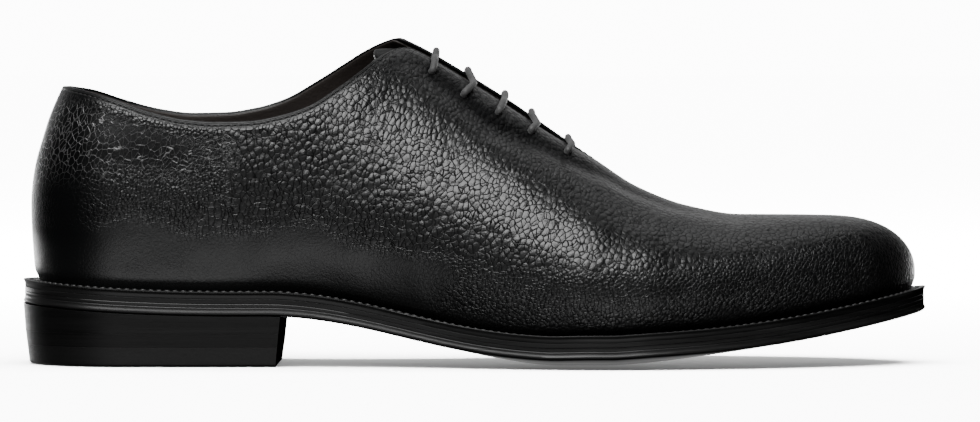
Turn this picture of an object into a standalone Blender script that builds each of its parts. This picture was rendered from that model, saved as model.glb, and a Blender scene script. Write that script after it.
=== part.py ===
"""A whole cut oxford: the right shoe of a pair, empty, standing on its sole.

The toe points along +X, the outer side of the foot lies at -Y, and the floor is Z = 0.
Sizes are in millimetres until a mesh is made, where MM turns them into metres.
"""
import math
from collections import namedtuple

import bmesh
import bpy
from mathutils import Vector

MM = 0.001

# Driving sizes
LENGTH = 306.0            # sole, from the back of the heel to the tip of the toe
BALL_WIDTH = 102.0        # sole, across the ball
INSTEP_HEIGHT = 108.5     # top of the facings above the floor
HEEL_HEIGHT = 17.0        # underside of the outsole above the floor, over the heel
TOE_SPRING = 18.0         # underside of the outsole above the floor, at the toe

# One per cent of each driving size, the unit of the tables below
ALONG = LENGTH / 100
ACROSS = BALL_WIDTH / 100
UP = INSTEP_HEIGHT / 100

HEEL_TIP = -LENGTH / 2
TOE_TIP = LENGTH / 2
GAP = 0.3                 # between pieces that touch on the real shoe
WALL = 2.0                # leather and lining of the upper together

# Sole: its layers, the flat spot under the ball and the curve that rises either side of it
OUTSOLE_THICKNESS = 4.0
WELT_THICKNESS = 3.9
WELT_WIDTH = 11.0
INSOLE_THICKNESS = 2.4
WELT_SET_BACK = 0.4       # of the welt's edge behind the outsole's
INSOLE_LAP = 2.4          # how far the insole's flange lies over the welt
EDGE_ROUND = 1.0          # of the outsole's lower edge
EDGE_BEVEL = 0.5          # of the other edges of outsole, welt and insole
FLAT_FROM = 28.0
FLAT_TO = 46.0
FLAT_HALF_WIDTH = 15.0
ARCH_BACK = -70.0         # where the arch meets the heel seat
ARCH_CURVE = 0.85
SPRING_CURVE = 1.35
SEAT_RISE = 3.5           # rise of the heel seat's cup at the very back
SEAT_FROM = -80.0
CROWN = 3.1               # rise of the sole's edge above its middle, at the ball
CROWN_REACH = 35.0
CROWN_FROM = -30.0        # the waist behind this is flat from side to side
CROWN_FULL = 25.0
CROWN_EASE_FROM = 50.0    # from here the crown eases off towards the toe
CROWN_EASE_TO = 125.0
TOE_CROWN = 0.25          # share of the crown left at the toe

# Round ends of the sole's outline
HEEL_ROUND_FROM = -118.0
TOE_ROUND_FROM = 95.0
HEEL_ROUNDNESS = 2.0
TOE_ROUNDNESS = 2.8

# Heel: three layers, tapered towards the floor
BREAST_TOP = -64.6
BREAST_SLOPE = 1.7        # how far the breast leans back at the floor
HEEL_TAPER = 2.1
TOP_PIECE_HEIGHT = 6.4
LOWER_LIFT_TOP = 11.0
LIFT_BEVEL = 0.3          # of the layers' edges
TREAD_BEVEL = 0.8         # of the top piece's edge on the floor
CORNER_CUT = 9.0          # cut off the inner front corner of the top piece, at the floor

# Upper: back curve of the heel, toe wall and throat
BACK_BULGE = 1.3
BULGE_HEIGHT = 53.0
BULGE_DROP = 23.0
BACK_LEAN = 10.9
LEAN_HEIGHT = 41.0
LEAN_CURVE = 1.9
LEAN_REACH = 70.0
TOE_CAP_FROM = 118.0
TOE_WALL_TOP = 31.0
TOE_CAP_CURVE = 2.6
THROAT_TOP = -20.0
THROAT_END = 41.8
THROAT_TOP_GAP = 3.5      # half the gap between the facings
THROAT_END_GAP = 1.2

# Tongue
TONGUE_GAP = 0.4
TONGUE_THICKNESS = 2.0
TONGUE_FROM = -34.0
TONGUE_TO = 48.0
TONGUE_TOP_HALF = 22.0
TONGUE_END_HALF = 12.0
TAB_FROM = -18.0
TAB_DROP = 6.4
TAB_CURVE = 1.3
TAB_ROUND = 9.0
TAB_CORNER = 0.85

# Eyelets and lace: each row is a pair of eyelets, how far each lies from the ridge of the
# instep, how far the bar between them lies forward at the ridge, and how much it snakes
Eyelets = namedtuple("Eyelets", "x lateral medial shift snake")
EYELETS = (
    Eyelets(-14.1, 12.7, 12.0, 0.5, 0.0),
    Eyelets(-3.2, 15.2, 12.5, 0.9, 1.9),
    Eyelets(8.3, 15.4, 12.5, 1.5, 0.0),
    Eyelets(19.3, 15.2, 12.5, -0.3, 1.5),
    Eyelets(31.6, 14.2, 12.5, -0.3, 1.0),
)
EYELET_RADIUS = 1.9
LACE_RADIUS = 1.25
FAR_SNAKE = 0.35          # share of the snaking left on the inner side of the shoe
LACE_CLEARANCE = 0.3
LACE_SUNK = 0.6           # the bar's ends lie this deep inside the eyelets
LACE_OUT = 0.9            # and it first turns this high above them
LACE_ARCH = 0.5
LACE_SHARES = (0.16, 0.33, 0.5, 0.67, 0.84)
LACE_POINTS = 17

# Mesh steps, and where the close steps of the upper's round ends begin
HEEL_REACH = -114.0
TOE_REACH = 111.0
CORNER_CLEAR = 2.5        # an even step this near to a corner of the throat is left out
TONGUE_STEPS = 16
TONGUE_COLUMNS = 10
END_STEPS = 8
MIDDLE_STEPS = 24
SIDE_STEPS = 4
DOME_STEPS = 10
SOLE_COLUMNS = 7
SOLE_STEPS = 36
HEEL_STEPS = 18
WELD = 0.001
SHARP_ANGLE = math.radians(35)
EYELET_SEGMENTS = 10


class Table:
    """Rows of numbers under named columns, read on a smooth curve between the rows."""

    def __init__(self, names, rows):
        self.names = names.split()
        self.rows = rows

    def at(self, x, name):
        """The named column at x, which is in the unit of the first column."""
        column = self.names.index(name)
        places = [row[0] for row in self.rows]
        values = [row[column] for row in self.rows]
        if x <= places[0]:
            return values[0]
        if x >= places[-1]:
            return values[-1]
        steps = [(values[i + 1] - values[i]) / (places[i + 1] - places[i])
                 for i in range(len(values) - 1)]
        k = max(i for i in range(len(steps)) if places[i] <= x)
        width = places[k + 1] - places[k]
        t = (x - places[k]) / width
        slope_a = steps[k] if k == 0 else level_slope(steps[k - 1], steps[k])
        slope_b = steps[k] if k == len(steps) - 1 else level_slope(steps[k], steps[k + 1])
        return ((2 * t ** 3 - 3 * t ** 2 + 1) * values[k]
                + (t ** 3 - 2 * t ** 2 + t) * width * slope_a
                + (3 * t ** 2 - 2 * t ** 3) * values[k + 1]
                + (t ** 3 - t ** 2) * width * slope_b)


def level_slope(before, after):
    """The slope at a row between two steps, which never makes the curve overshoot."""
    if before * after <= 0:
        return 0.0
    return 2 * before * after / (before + after)


# Half widths of the sole in per cent of the ball width. The round ends are added to these.
SOLE = Table("x lateral medial", (
    (-31.0, 33.3, 33.3),
    (-24.5, 32.8, 32.2),
    (-18.0, 32.4, 29.7),
    (-11.4, 33.6, 28.3),
    (-4.9, 37.3, 29.2),
    (1.6, 42.8, 33.3),
    (8.2, 48.0, 40.7),
    (13.1, 50.3, 46.4),
    (18.0, 49.8, 49.9),
    (21.2, 48.3, 50.5),
    (26.1, 44.9, 49.0),
    (31.0, 40.6, 46.1),
    (39.2, 33.0, 40.6),
    (44.1, 29.6, 36.8),
    (50.0, 25.5, 33.2),
))

# Upper's sections. "in_" columns give how far the widest line lies inside the sole's edge, "up_"
# columns how far it lies above the welt, full the squareness of the dome over it, top the
# ridge's height in per cent of the instep height, and drop how much lower the near facing lies.
UPPER = Table("x in_lateral in_medial up_lateral up_medial full ridge top drop", (
    (-48.0, 4.0, 4.0, 24.0, 24.0, 2.2, 0.0, 103.2, 0.0),
    (-39.2, 3.2, 3.2, 24.0, 25.0, 2.2, 0.0, 106.9, 0.0),
    (-29.4, 2.8, 2.4, 23.0, 27.0, 2.1, 0.6, 109.7, 0.0),
    (-19.6, 0.8, -1.4, 22.0, 28.0, 2.0, 1.5, 110.6, 0.0),
    (-13.1, 0.2, -3.0, 21.0, 28.0, 1.85, 2.4, 108.3, 0.9),
    (-6.5, 0.0, -3.5, 20.0, 27.0, 1.75, 3.0, 100.4, 1.4),
    (-1.3, 0.8, -3.2, 19.0, 25.0, 1.75, 3.0, 91.7, 1.4),
    (3.9, 1.5, -2.0, 17.0, 22.0, 1.8, 3.2, 82.2, 1.4),
    (9.2, 2.0, -0.5, 15.5, 19.0, 1.85, 3.5, 71.6, 0.9),
    (13.66, 2.3, 0.9, 14.0, 16.0, 1.92, 4.0, 63.0, 0.0),
    (18.0, 2.3, 1.3, 13.0, 14.5, 2.0, 4.4, 55.1, 0.0),
    (23.5, 2.5, 1.9, 12.0, 13.0, 2.15, 4.8, 49.2, 0.0),
    (29.4, 3.0, 2.5, 11.0, 12.0, 2.3, 5.0, 46.4, 0.0),
    (35.9, 3.3, 3.1, 9.5, 10.0, 2.5, 4.7, 46.3, 0.0),
    (40.5, 3.4, 3.4, 8.0, 8.5, 2.6, 4.4, 46.1, 0.0),
    (48.0, 3.5, 3.5, 1.6, 1.6, 2.6, 4.03, 46.0, 0.0),
))

# Feather line, where the upper meets the welt, inside the sole's edge
FEATHER = Table("x lateral medial", (
    (-48.0, 4.0, 4.0),
    (-39.2, 4.6, 4.6),
    (-24.5, 5.0, 4.4),
    (-11.4, 4.8, 3.0),
    (1.6, 5.2, 3.4),
    (13.1, 6.0, 5.2),
    (26.1, 6.0, 6.0),
    (39.2, 5.4, 5.4),
    (48.0, 3.5, 3.5),
))

# Collar's height in per cent of the instep height
COLLAR = Table("x lateral medial", (
    (-48.0, 86.7, 86.7),
    (-44.8, 85.3, 85.5),
    (-40.8, 82.9, 82.6),
    (-35.6, 78.6, 79.2),
    (-31.9, 76.4, 78.0),
    (-28.1, 75.6, 78.2),
    (-24.5, 75.9, 79.7),
    (-21.2, 77.6, 82.6),
    (-18.0, 80.6, 87.6),
    (-14.7, 86.5, 93.4),
    (-12.1, 91.9, 97.9),
    (-9.8, 97.1, 100.8),
    (-8.2, 100.2, 101.9),
    (-6.4, 100.9, 100.9),
))

LATERAL = -1
MEDIAL = 1
SIDE_NAMES = {LATERAL: "lateral", MEDIAL: "medial"}

# A level of a flat piece: how far inside the sole's edge, from where to where, and how high
Level = namedtuple("Level", "inset start end height")


def smooth(t):
    """Eases from 0 to 1 as t goes from 0 to 1."""
    t = min(1.0, max(0.0, t))
    return t * t * (3 - 2 * t)


def mix(a, b, t):
    """The value at share t of the way from a to b."""
    return a + (b - a) * t


def sole_bottom(x, y):
    """Height of the outsole's underside above the floor."""
    arch = HEEL_HEIGHT * smooth((FLAT_FROM - x) / (FLAT_FROM - ARCH_BACK)) ** ARCH_CURVE
    seat = SEAT_RISE * (max(0.0, SEAT_FROM - x) / (SEAT_FROM - HEEL_TIP)) ** 2
    spring = TOE_SPRING * (max(0.0, x - FLAT_TO) / (TOE_TIP - FLAT_TO)) ** SPRING_CURVE
    reach = max(0.0, abs(y) - FLAT_HALF_WIDTH) / CROWN_REACH
    crown = CROWN * reach ** 2 * smooth((x - CROWN_FROM) / (CROWN_FULL - CROWN_FROM))
    crown *= mix(1.0, TOE_CROWN, smooth((x - CROWN_EASE_FROM) / (CROWN_EASE_TO - CROWN_EASE_FROM)))
    return arch + seat + spring + crown


def above_sole(lift):
    """A height function that lies a fixed distance above the outsole's underside."""
    return lambda x, y: sole_bottom(x, y) + lift


def sole_edge(x, side, inset):
    """Y of the sole's outline at x, moved inwards by inset."""
    lateral = SOLE.at(x / ALONG, "lateral") * ACROSS
    medial = SOLE.at(x / ALONG, "medial") * ACROSS
    middle = (medial - lateral) / 2
    half = (medial + lateral) / 2 - inset
    if x < HEEL_ROUND_FROM:
        reach = (HEEL_ROUND_FROM - x) / (HEEL_ROUND_FROM - HEEL_TIP - inset)
        half *= math.sqrt(max(0.0, 1 - reach ** HEEL_ROUNDNESS))
    if x > TOE_ROUND_FROM:
        reach = (x - TOE_ROUND_FROM) / (TOE_TIP - inset - TOE_ROUND_FROM)
        half *= math.sqrt(max(0.0, 1 - reach ** TOE_ROUNDNESS))
    return middle + side * half


WELT_TOP = OUTSOLE_THICKNESS + GAP + WELT_THICKNESS
UPPER_BACK = HEEL_TIP + FEATHER.rows[0][1]
UPPER_TIP = TOE_TIP - FEATHER.rows[-1][1]


def throat_gap(x):
    """Half the gap between the facings, or 0 where the upper is closed over the instep."""
    if x >= THROAT_END:
        return 0.0
    return mix(THROAT_TOP_GAP, THROAT_END_GAP, (x - THROAT_TOP) / (THROAT_END - THROAT_TOP))


def ridge_height(x, depth):
    """Height of the upper's ridge, depth inside its surface, down to the wall of the toe."""
    height = UPPER.at(x / ALONG, "top") * UP
    if x > TOE_CAP_FROM:
        reach = min(1.0, (x - TOE_CAP_FROM) / (UPPER_TIP - TOE_CAP_FROM - depth))
        fall = math.sqrt(1 - reach ** TOE_CAP_CURVE)
        height = mix(TOE_WALL_TOP, height, fall)
    return height - depth


Section = namedtuple("Section", "foot_y foot_z wide_y wide_z ridge_y top_z full")


def upper_section(x, side, depth):
    """Half a cross section of the upper at x, depth inside its outer surface."""
    name = SIDE_NAMES[side]
    at = x / ALONG
    feather = FEATHER.at(at, name)
    foot_y = sole_edge(x, side, feather + depth)
    outer_foot = sole_edge(x, side, feather)
    wide_z = sole_bottom(x, outer_foot) + WELT_TOP + GAP + UPPER.at(at, "up_" + name)
    top_z = ridge_height(x, depth)
    if side == LATERAL:
        top_z -= UPPER.at(at, "drop")
    return Section(
        foot_y=foot_y,
        foot_z=sole_bottom(x, foot_y) + WELT_TOP + GAP,
        wide_y=sole_edge(x, side, UPPER.at(at, "in_" + name) + depth),
        wide_z=min(wide_z, top_z),
        ridge_y=UPPER.at(at, "ridge"),
        top_z=top_z,
        full=UPPER.at(at, "full"),
    )


def heel_lean(x, z, back):
    """How far a point at height z moves forward along the curved back of the heel."""
    fade = max(0.0, 1 - (x - back) / LEAN_REACH) ** 2
    if z < BULGE_HEIGHT:
        move = -BACK_BULGE * (1 - ((BULGE_HEIGHT - z) / BULGE_DROP) ** 2)
    else:
        move = BACK_LEAN * ((z - BULGE_HEIGHT) / LEAN_HEIGHT) ** LEAN_CURVE - BACK_BULGE
    return move * fade


def dome_end(x, side, section):
    """Angle at which the dome ends: at the collar, at the throat or at the ridge."""
    power = section.full / 2
    end = math.pi / 2
    collar = COLLAR.at(x / ALONG, SIDE_NAMES[side]) * UP
    if x <= THROAT_TOP:
        rise = (collar - section.wide_z) / (section.top_z - section.wide_z)
        end = math.asin(min(1.0, rise) ** power)
    gap = throat_gap(x)
    width = abs(section.wide_y - section.ridge_y)
    if gap and width > gap:
        end = min(end, math.acos((min(gap, THROAT_TOP_GAP) / width) ** power))
    return end


def upper_column(x, side, depth, outer_x):
    """Points up half a section of the upper, from the welt to its top edge."""
    section = upper_section(x, side, depth)
    points = []
    for step in range(SIDE_STEPS):
        t = step / SIDE_STEPS
        y = mix(section.foot_y, section.wide_y, 1 - (1 - t) ** 2)
        points.append((y, mix(section.foot_z, section.wide_z, t)))
    end = dome_end(outer_x, side, section)
    for step in range(DOME_STEPS + 1):
        angle = end * step / DOME_STEPS
        across = math.cos(angle) ** (2 / section.full)
        rise = math.sin(angle) ** (2 / section.full)
        if outer_x >= THROAT_END and step == DOME_STEPS:
            across = 0.0
        y = mix(section.ridge_y, section.wide_y, across)
        points.append((y, mix(section.wide_z, section.top_z, rise)))
    back = UPPER_BACK + depth
    return [Vector((x + heel_lean(x, z, back), y, z)) for y, z in points]


def upper_stations():
    """X of each section of the upper: close together at both ends and at the throat's ends."""
    heel_reach = HEEL_REACH - UPPER_BACK
    toe_reach = UPPER_TIP - TOE_REACH
    places = []
    for step in range(END_STEPS):
        angle = math.pi / 2 * step / END_STEPS
        places.append(UPPER_BACK + heel_reach * (1 - math.cos(angle)))
        places.append(UPPER_TIP - toe_reach * (1 - math.cos(angle)))
    corners = (THROAT_TOP - 6.0, THROAT_TOP - 4.0, THROAT_TOP - 2.0, THROAT_TOP,
               THROAT_END - 1.0, THROAT_END)
    for step in range(MIDDLE_STEPS + 1):
        x = mix(UPPER_BACK + heel_reach, UPPER_TIP - toe_reach, step / MIDDLE_STEPS)
        if min(abs(x - corner) for corner in corners) > CORNER_CLEAR:
            places.append(x)
    return sorted(places + list(corners))


def inner_place(x, depth):
    """X of the inner section that belongs to an outer one: only the round ends move inwards."""
    heel_share = max(0.0, (HEEL_ROUND_FROM - x) / (HEEL_ROUND_FROM - UPPER_BACK))
    toe_share = max(0.0, (x - TOE_ROUND_FROM) / (UPPER_TIP - TOE_ROUND_FROM))
    return x + depth * heel_share - depth * toe_share


def add_quads(mesh, rows, closed=False):
    """Joins neighbouring rows of vertices with faces."""
    for row, following in zip(rows, rows[1:]):
        count = len(row)
        for i in range(count if closed else count - 1):
            j = (i + 1) % count
            mesh.faces.new((row[i], row[j], following[j], following[i]))


def add_row(mesh, points):
    """Makes a vertex for each point and returns them in order."""
    return [mesh.verts.new(Vector(point) * MM) for point in points]


def finish_mesh(mesh, name, material):
    """Welds, turns the faces outwards and makes the named object."""
    bmesh.ops.remove_doubles(mesh, verts=mesh.verts, dist=WELD * MM)
    bmesh.ops.dissolve_degenerate(mesh, edges=mesh.edges, dist=WELD * MM)
    bmesh.ops.recalc_face_normals(mesh, faces=mesh.faces)
    data = bpy.data.meshes.new(name)
    mesh.to_mesh(data)
    mesh.free()
    data.shade_smooth()
    data.set_sharp_from_angle(angle=SHARP_ANGLE)
    piece = bpy.data.objects.new(name, data)
    bpy.context.collection.objects.link(piece)
    data.materials.append(material)
    return piece


def build_upper(material):
    """The upper: one cut of leather with its lining, open at collar, throat and underneath."""
    mesh = bmesh.new()
    sides = {}
    for side in (LATERAL, MEDIAL):
        outer = []
        inner = []
        for x in upper_stations():
            outer.append(add_row(mesh, upper_column(x, side, 0.0, x)))
            inner_x = inner_place(x, WALL)
            inner.append(add_row(mesh, upper_column(inner_x, side, WALL, x)))
        add_quads(mesh, outer)
        add_quads(mesh, inner)
        add_quads(mesh, [[column[0] for column in outer], [column[0] for column in inner]])
        open_count = sum(1 for x in upper_stations() if x < THROAT_END) + 1
        add_quads(mesh, [[column[-1] for column in outer[:open_count]],
                         [column[-1] for column in inner[:open_count]]])
        sides[side] = (outer, inner)
    upper = finish_mesh(mesh, "upper", material)
    for index, pair in enumerate(EYELETS):
        for side in (LATERAL, MEDIAL):
            cutter = eyelet_cutter(f"eyelet_cutter_{index}_{SIDE_NAMES[side]}", pair, side)
            cut = upper.modifiers.new(cutter.name, "BOOLEAN")
            cut.operation = "DIFFERENCE"
            cut.object = cutter
    return upper


def roof_point(x, y, depth):
    """The point at x and y on the facings, or on the line between them, depth inside."""
    side = LATERAL if y < UPPER.at(x / ALONG, "ridge") else MEDIAL
    section = upper_section(x, side, depth)
    drop = UPPER.at(x / ALONG, "drop")
    gap = THROAT_TOP_GAP
    share = smooth((y - section.ridge_y + gap) / (2 * gap))
    top_z = ridge_height(x, depth) - mix(drop, 0.0, share)
    reach = min(1.0, abs(y - section.ridge_y) / abs(section.wide_y - section.ridge_y))
    rise = (1 - reach ** section.full) ** (1 / section.full)
    return Vector((x, y, mix(section.wide_z, top_z, rise)))


def roof_normal(x, y):
    """The direction away from the foot on the facings."""
    step = 0.5
    along = roof_point(x + step, y, 0.0) - roof_point(x - step, y, 0.0)
    across = roof_point(x, y + step, 0.0) - roof_point(x, y - step, 0.0)
    return along.cross(across).normalized()


def eyelet_place(pair, side):
    """The middle of an eyelet on the surface of its facing."""
    reach = pair.medial if side == MEDIAL else pair.lateral
    return roof_point(pair.x, UPPER.at(pair.x / ALONG, "ridge") + side * reach, 0.0)


def eyelet_cutter(name, pair, side):
    """A short round bar through the facing, which cuts one lace hole."""
    middle = eyelet_place(pair, side)
    turn = roof_normal(middle.x, middle.y).to_track_quat("Z", "Y")
    mesh = bmesh.new()
    bmesh.ops.create_cone(mesh, cap_ends=True, segments=EYELET_SEGMENTS, radius1=EYELET_RADIUS * MM,
                          radius2=EYELET_RADIUS * MM, depth=4 * WALL * MM)
    data = bpy.data.meshes.new(name)
    mesh.to_mesh(data)
    mesh.free()
    cutter = bpy.data.objects.new(name, data)
    cutter.location = middle * MM
    cutter.rotation_mode = "QUATERNION"
    cutter.rotation_quaternion = turn
    cutter.hide_render = True
    cutter.display_type = "WIRE"
    bpy.context.collection.objects.link(cutter)
    return cutter


def build_tongue(material):
    """The tongue: an arched sheet under the facings, with a rounded tab above them."""
    mesh = bmesh.new()
    loops = []
    for i in range(TONGUE_STEPS + 1):
        x = mix(TONGUE_FROM, TONGUE_TO, i / TONGUE_STEPS)
        half = mix(TONGUE_TOP_HALF, TONGUE_END_HALF, i / TONGUE_STEPS)
        tab = max(0.0, 1 - (x - TONGUE_FROM) / TAB_ROUND)
        half *= math.sqrt(1 - TAB_CORNER * tab ** 2)
        tab_drop = TAB_DROP * (max(0.0, TAB_FROM - x) / (TAB_FROM - TONGUE_FROM)) ** TAB_CURVE
        ridge = UPPER.at(x / ALONG, "ridge")
        loop = []
        for depth in (WALL + TONGUE_GAP, WALL + TONGUE_GAP + TONGUE_THICKNESS):
            row = []
            for k in range(TONGUE_COLUMNS + 1):
                y = ridge + mix(-half, half, k / TONGUE_COLUMNS)
                row.append(roof_point(x, y, depth) - Vector((0.0, 0.0, tab_drop)))
            loop += row if not loop else reversed(row)
        loops.append(add_row(mesh, loop))
    add_quads(mesh, loops, closed=True)
    mesh.faces.new(loops[0])
    mesh.faces.new(loops[-1])
    return finish_mesh(mesh, "tongue", material)


def whole_shares():
    """Shares of the way along the sole: closer at both ends, and one at each end of the flat."""
    shares = [(1 - math.cos(math.pi * step / SOLE_STEPS)) / 2 for step in range(SOLE_STEPS + 1)]
    return sorted(shares + [(x - HEEL_TIP) / LENGTH for x in (FLAT_FROM, FLAT_TO)])


def heel_shares():
    """Shares of the way from the back of the heel to its breast, closer at the back."""
    return [1 - math.cos(math.pi / 2 * step / HEEL_STEPS) for step in range(HEEL_STEPS + 1)]


def level_row(level, share, side, columns):
    """Points of a level across the piece, from the edge on one side to the other."""
    x = mix(level.start, level.end, share)
    near = sole_edge(x, LATERAL, level.inset)
    far = sole_edge(x, MEDIAL, level.inset)
    if side is not None:
        y = far if side == MEDIAL else near
        return [(x, y, level.height(x, y))]
    row = []
    for k in range(columns):
        y = mix(near, far, k / (columns - 1))
        row.append((x, y, level.height(x, y)))
    return row


def slab(name, levels, columns, shares, material):
    """A flat piece with the sole's outline, whose side goes through the levels upwards."""
    mesh = bmesh.new()
    loops = []
    for share in shares:
        loop = level_row(levels[0], share, None, columns)
        for level in levels[1:-1]:
            loop += level_row(level, share, MEDIAL, columns)
        loop += reversed(level_row(levels[-1], share, None, columns))
        for level in reversed(levels[1:-1]):
            loop += level_row(level, share, LATERAL, columns)
        loops.append(add_row(mesh, loop))
    add_quads(mesh, loops, closed=True)
    if levels[0].end < BREAST_TOP + WELD:
        mesh.faces.new(loops[-1])
    return finish_mesh(mesh, name, material)


def whole_level(inset, height):
    """A level that runs from the back of the heel to the tip of the toe."""
    return Level(inset, HEEL_TIP + inset, TOE_TIP - inset, height)


def build_outsole(material):
    """The outsole, with its lower edge rounded."""
    levels = (
        whole_level(EDGE_ROUND, above_sole(0.0)),
        whole_level(0.2, above_sole(EDGE_ROUND - 0.2)),
        whole_level(0.0, above_sole(OUTSOLE_THICKNESS - EDGE_BEVEL)),
        whole_level(EDGE_BEVEL, above_sole(OUTSOLE_THICKNESS)),
    )
    return slab("outsole", levels, SOLE_COLUMNS, whole_shares(), material)


def build_welt(material):
    """The welt: a flat ring between outsole and upper, right round the shoe."""
    bottom = OUTSOLE_THICKNESS + GAP
    section = (
        whole_level(WELT_SET_BACK + EDGE_BEVEL, above_sole(bottom)),
        whole_level(WELT_SET_BACK, above_sole(bottom + EDGE_BEVEL)),
        whole_level(WELT_SET_BACK, above_sole(WELT_TOP - EDGE_BEVEL)),
        whole_level(WELT_SET_BACK + EDGE_BEVEL, above_sole(WELT_TOP)),
        whole_level(WELT_WIDTH - INSOLE_LAP, above_sole(WELT_TOP)),
        whole_level(WELT_WIDTH, above_sole(WELT_TOP)),
        whole_level(WELT_WIDTH, above_sole(bottom)),
    )
    mesh = bmesh.new()
    loops = []
    shares = whole_shares()
    for side, run in ((LATERAL, shares[:-1]), (MEDIAL, shares[:0:-1])):
        for share in run:
            points = [level_row(level, share, side, 0)[0] for level in section]
            loops.append(add_row(mesh, points))
    add_quads(mesh, loops + loops[:1], closed=True)
    return finish_mesh(mesh, "welt", material)


def build_insole(material):
    """The insole: it fills the welt's ring, and its flange lies over the ring's edge."""
    inside = WELT_WIDTH + GAP
    flange = WELT_WIDTH - INSOLE_LAP
    levels = (
        whole_level(inside, above_sole(OUTSOLE_THICKNESS + GAP)),
        whole_level(inside, above_sole(WELT_TOP + GAP)),
        whole_level(flange, above_sole(WELT_TOP + GAP)),
        whole_level(flange, above_sole(WELT_TOP + GAP + INSOLE_THICKNESS - EDGE_BEVEL)),
        whole_level(flange + EDGE_BEVEL, above_sole(WELT_TOP + GAP + INSOLE_THICKNESS)),
    )
    return slab("insole", levels, SOLE_COLUMNS, whole_shares(), material)


def heel_level(z, height=None, inset=0.0):
    """A level of the heel at height z, tapered towards the floor and cut at the breast."""
    share = 1 - z / HEEL_HEIGHT
    inwards = inset + HEEL_TAPER * share
    breast = BREAST_TOP - BREAST_SLOPE * share
    return Level(inwards, HEEL_TIP + inwards, breast, height or (lambda x, y: z))


def build_heel(leather, rubber):
    """The heel: two leather lifts and the top piece that meets the floor."""
    bottom = LOWER_LIFT_TOP + GAP
    heel_top = HEEL_HEIGHT - GAP
    slab("heel_lift_upper", (
        heel_level(bottom, inset=LIFT_BEVEL),
        heel_level(bottom + LIFT_BEVEL),
        heel_level(heel_top - LIFT_BEVEL, above_sole(-GAP - LIFT_BEVEL)),
        heel_level(heel_top, above_sole(-GAP), inset=LIFT_BEVEL),
    ), 2, heel_shares(), leather)
    bottom = TOP_PIECE_HEIGHT + GAP
    slab("heel_lift_lower", (
        heel_level(bottom, inset=LIFT_BEVEL),
        heel_level(bottom + LIFT_BEVEL),
        heel_level(LOWER_LIFT_TOP - LIFT_BEVEL),
        heel_level(LOWER_LIFT_TOP, inset=LIFT_BEVEL),
    ), 2, heel_shares(), leather)
    top_piece = slab("heel_top_piece", (
        heel_level(0.0, inset=TREAD_BEVEL),
        heel_level(TREAD_BEVEL),
        heel_level(TOP_PIECE_HEIGHT - LIFT_BEVEL),
        heel_level(TOP_PIECE_HEIGHT, inset=LIFT_BEVEL),
    ), 2, heel_shares(), rubber)
    cut_corner(top_piece)


def cut_corner(top_piece):
    """Cuts the inner front corner off the top piece on a plane that reaches its upper edge."""
    mesh = bmesh.new()
    mesh.from_mesh(top_piece.data)
    corner = Vector((BREAST_TOP, sole_edge(BREAST_TOP, MEDIAL, HEEL_TAPER), 0.0)) * MM
    middle = corner - Vector((CORNER_CUT, 0.0, 0.0)) * MM
    facing = Vector((1.0, 1.0, -CORNER_CUT / TOP_PIECE_HEIGHT)).normalized()
    result = bmesh.ops.bisect_plane(
        mesh, geom=mesh.verts[:] + mesh.edges[:] + mesh.faces[:],
        plane_co=middle, plane_no=facing, clear_outer=True)
    rim = [item for item in result["geom_cut"] if isinstance(item, bmesh.types.BMEdge)]
    bmesh.ops.edgeloop_fill(mesh, edges=rim)
    bmesh.ops.recalc_face_normals(mesh, faces=mesh.faces)
    mesh.to_mesh(top_piece.data)
    mesh.free()


def curve_point(points, t):
    """A point at t, from 0 to 1, on a smooth curve through the points."""
    span = min(len(points) - 2, int(t * (len(points) - 1)))
    local = t * (len(points) - 1) - span
    a = points[max(0, span - 1)]
    b = points[span]
    c = points[span + 1]
    d = points[min(len(points) - 1, span + 2)]
    return 0.5 * (2 * b + (c - a) * local + (2 * a - 5 * b + 4 * c - d) * local ** 2
                  + (3 * b - a - 3 * c + d) * local ** 3)


def lace_route(pair):
    """Points of a lace bar, from inside the near eyelet over the gap into the far one."""
    lift = LACE_RADIUS + LACE_CLEARANCE
    near = eyelet_place(pair, LATERAL)
    far = eyelet_place(pair, MEDIAL)
    near_out = roof_normal(near.x, near.y)
    far_out = roof_normal(far.x, far.y)
    route = [near - near_out * LACE_SUNK, near + near_out * LACE_OUT]
    for share in LACE_SHARES:
        across = math.sin(math.pi * share)
        turn = math.sin(2 * math.pi * share) * (1.0 if share < 0.5 else FAR_SNAKE)
        place = pair.x + pair.shift * across + pair.snake * turn
        y = mix(near.y, far.y, share)
        rise = lift + LACE_ARCH * (1 - across)
        route.append(roof_point(place, y, 0.0) + roof_normal(place, y) * rise)
    route += [far + far_out * LACE_OUT, far - far_out * LACE_SUNK]
    return route


def build_lace(material):
    """Five separate bars of round cord across the throat."""
    for index, pair in enumerate(EYELETS):
        name = f"lace_bar_{index + 1}"
        route = lace_route(pair)
        curve = bpy.data.curves.new(name, "CURVE")
        curve.dimensions = "3D"
        curve.bevel_depth = LACE_RADIUS * MM
        curve.bevel_resolution = 2
        curve.use_fill_caps = True
        curve.resolution_u = 1
        curve.render_resolution_u = 0
        spline = curve.splines.new("POLY")
        spline.points.add(LACE_POINTS - 1)
        for k, point in enumerate(spline.points):
            place = curve_point(route, k / (LACE_POINTS - 1)) * MM
            point.co = (place.x, place.y, place.z, 1.0)
        curve.materials.append(material)
        bar = bpy.data.objects.new(name, curve)
        bpy.context.collection.objects.link(bar)


def make_material(name, colour, roughness):
    """A plain material with the piece's colour."""
    material = bpy.data.materials.new(name)
    material.use_nodes = True
    shader = material.node_tree.nodes["Principled BSDF"]
    shader.inputs["Base Color"].default_value = (*colour, 1.0)
    shader.inputs["Roughness"].default_value = roughness
    shader.inputs["Metallic"].default_value = 0.0
    return material


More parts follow.
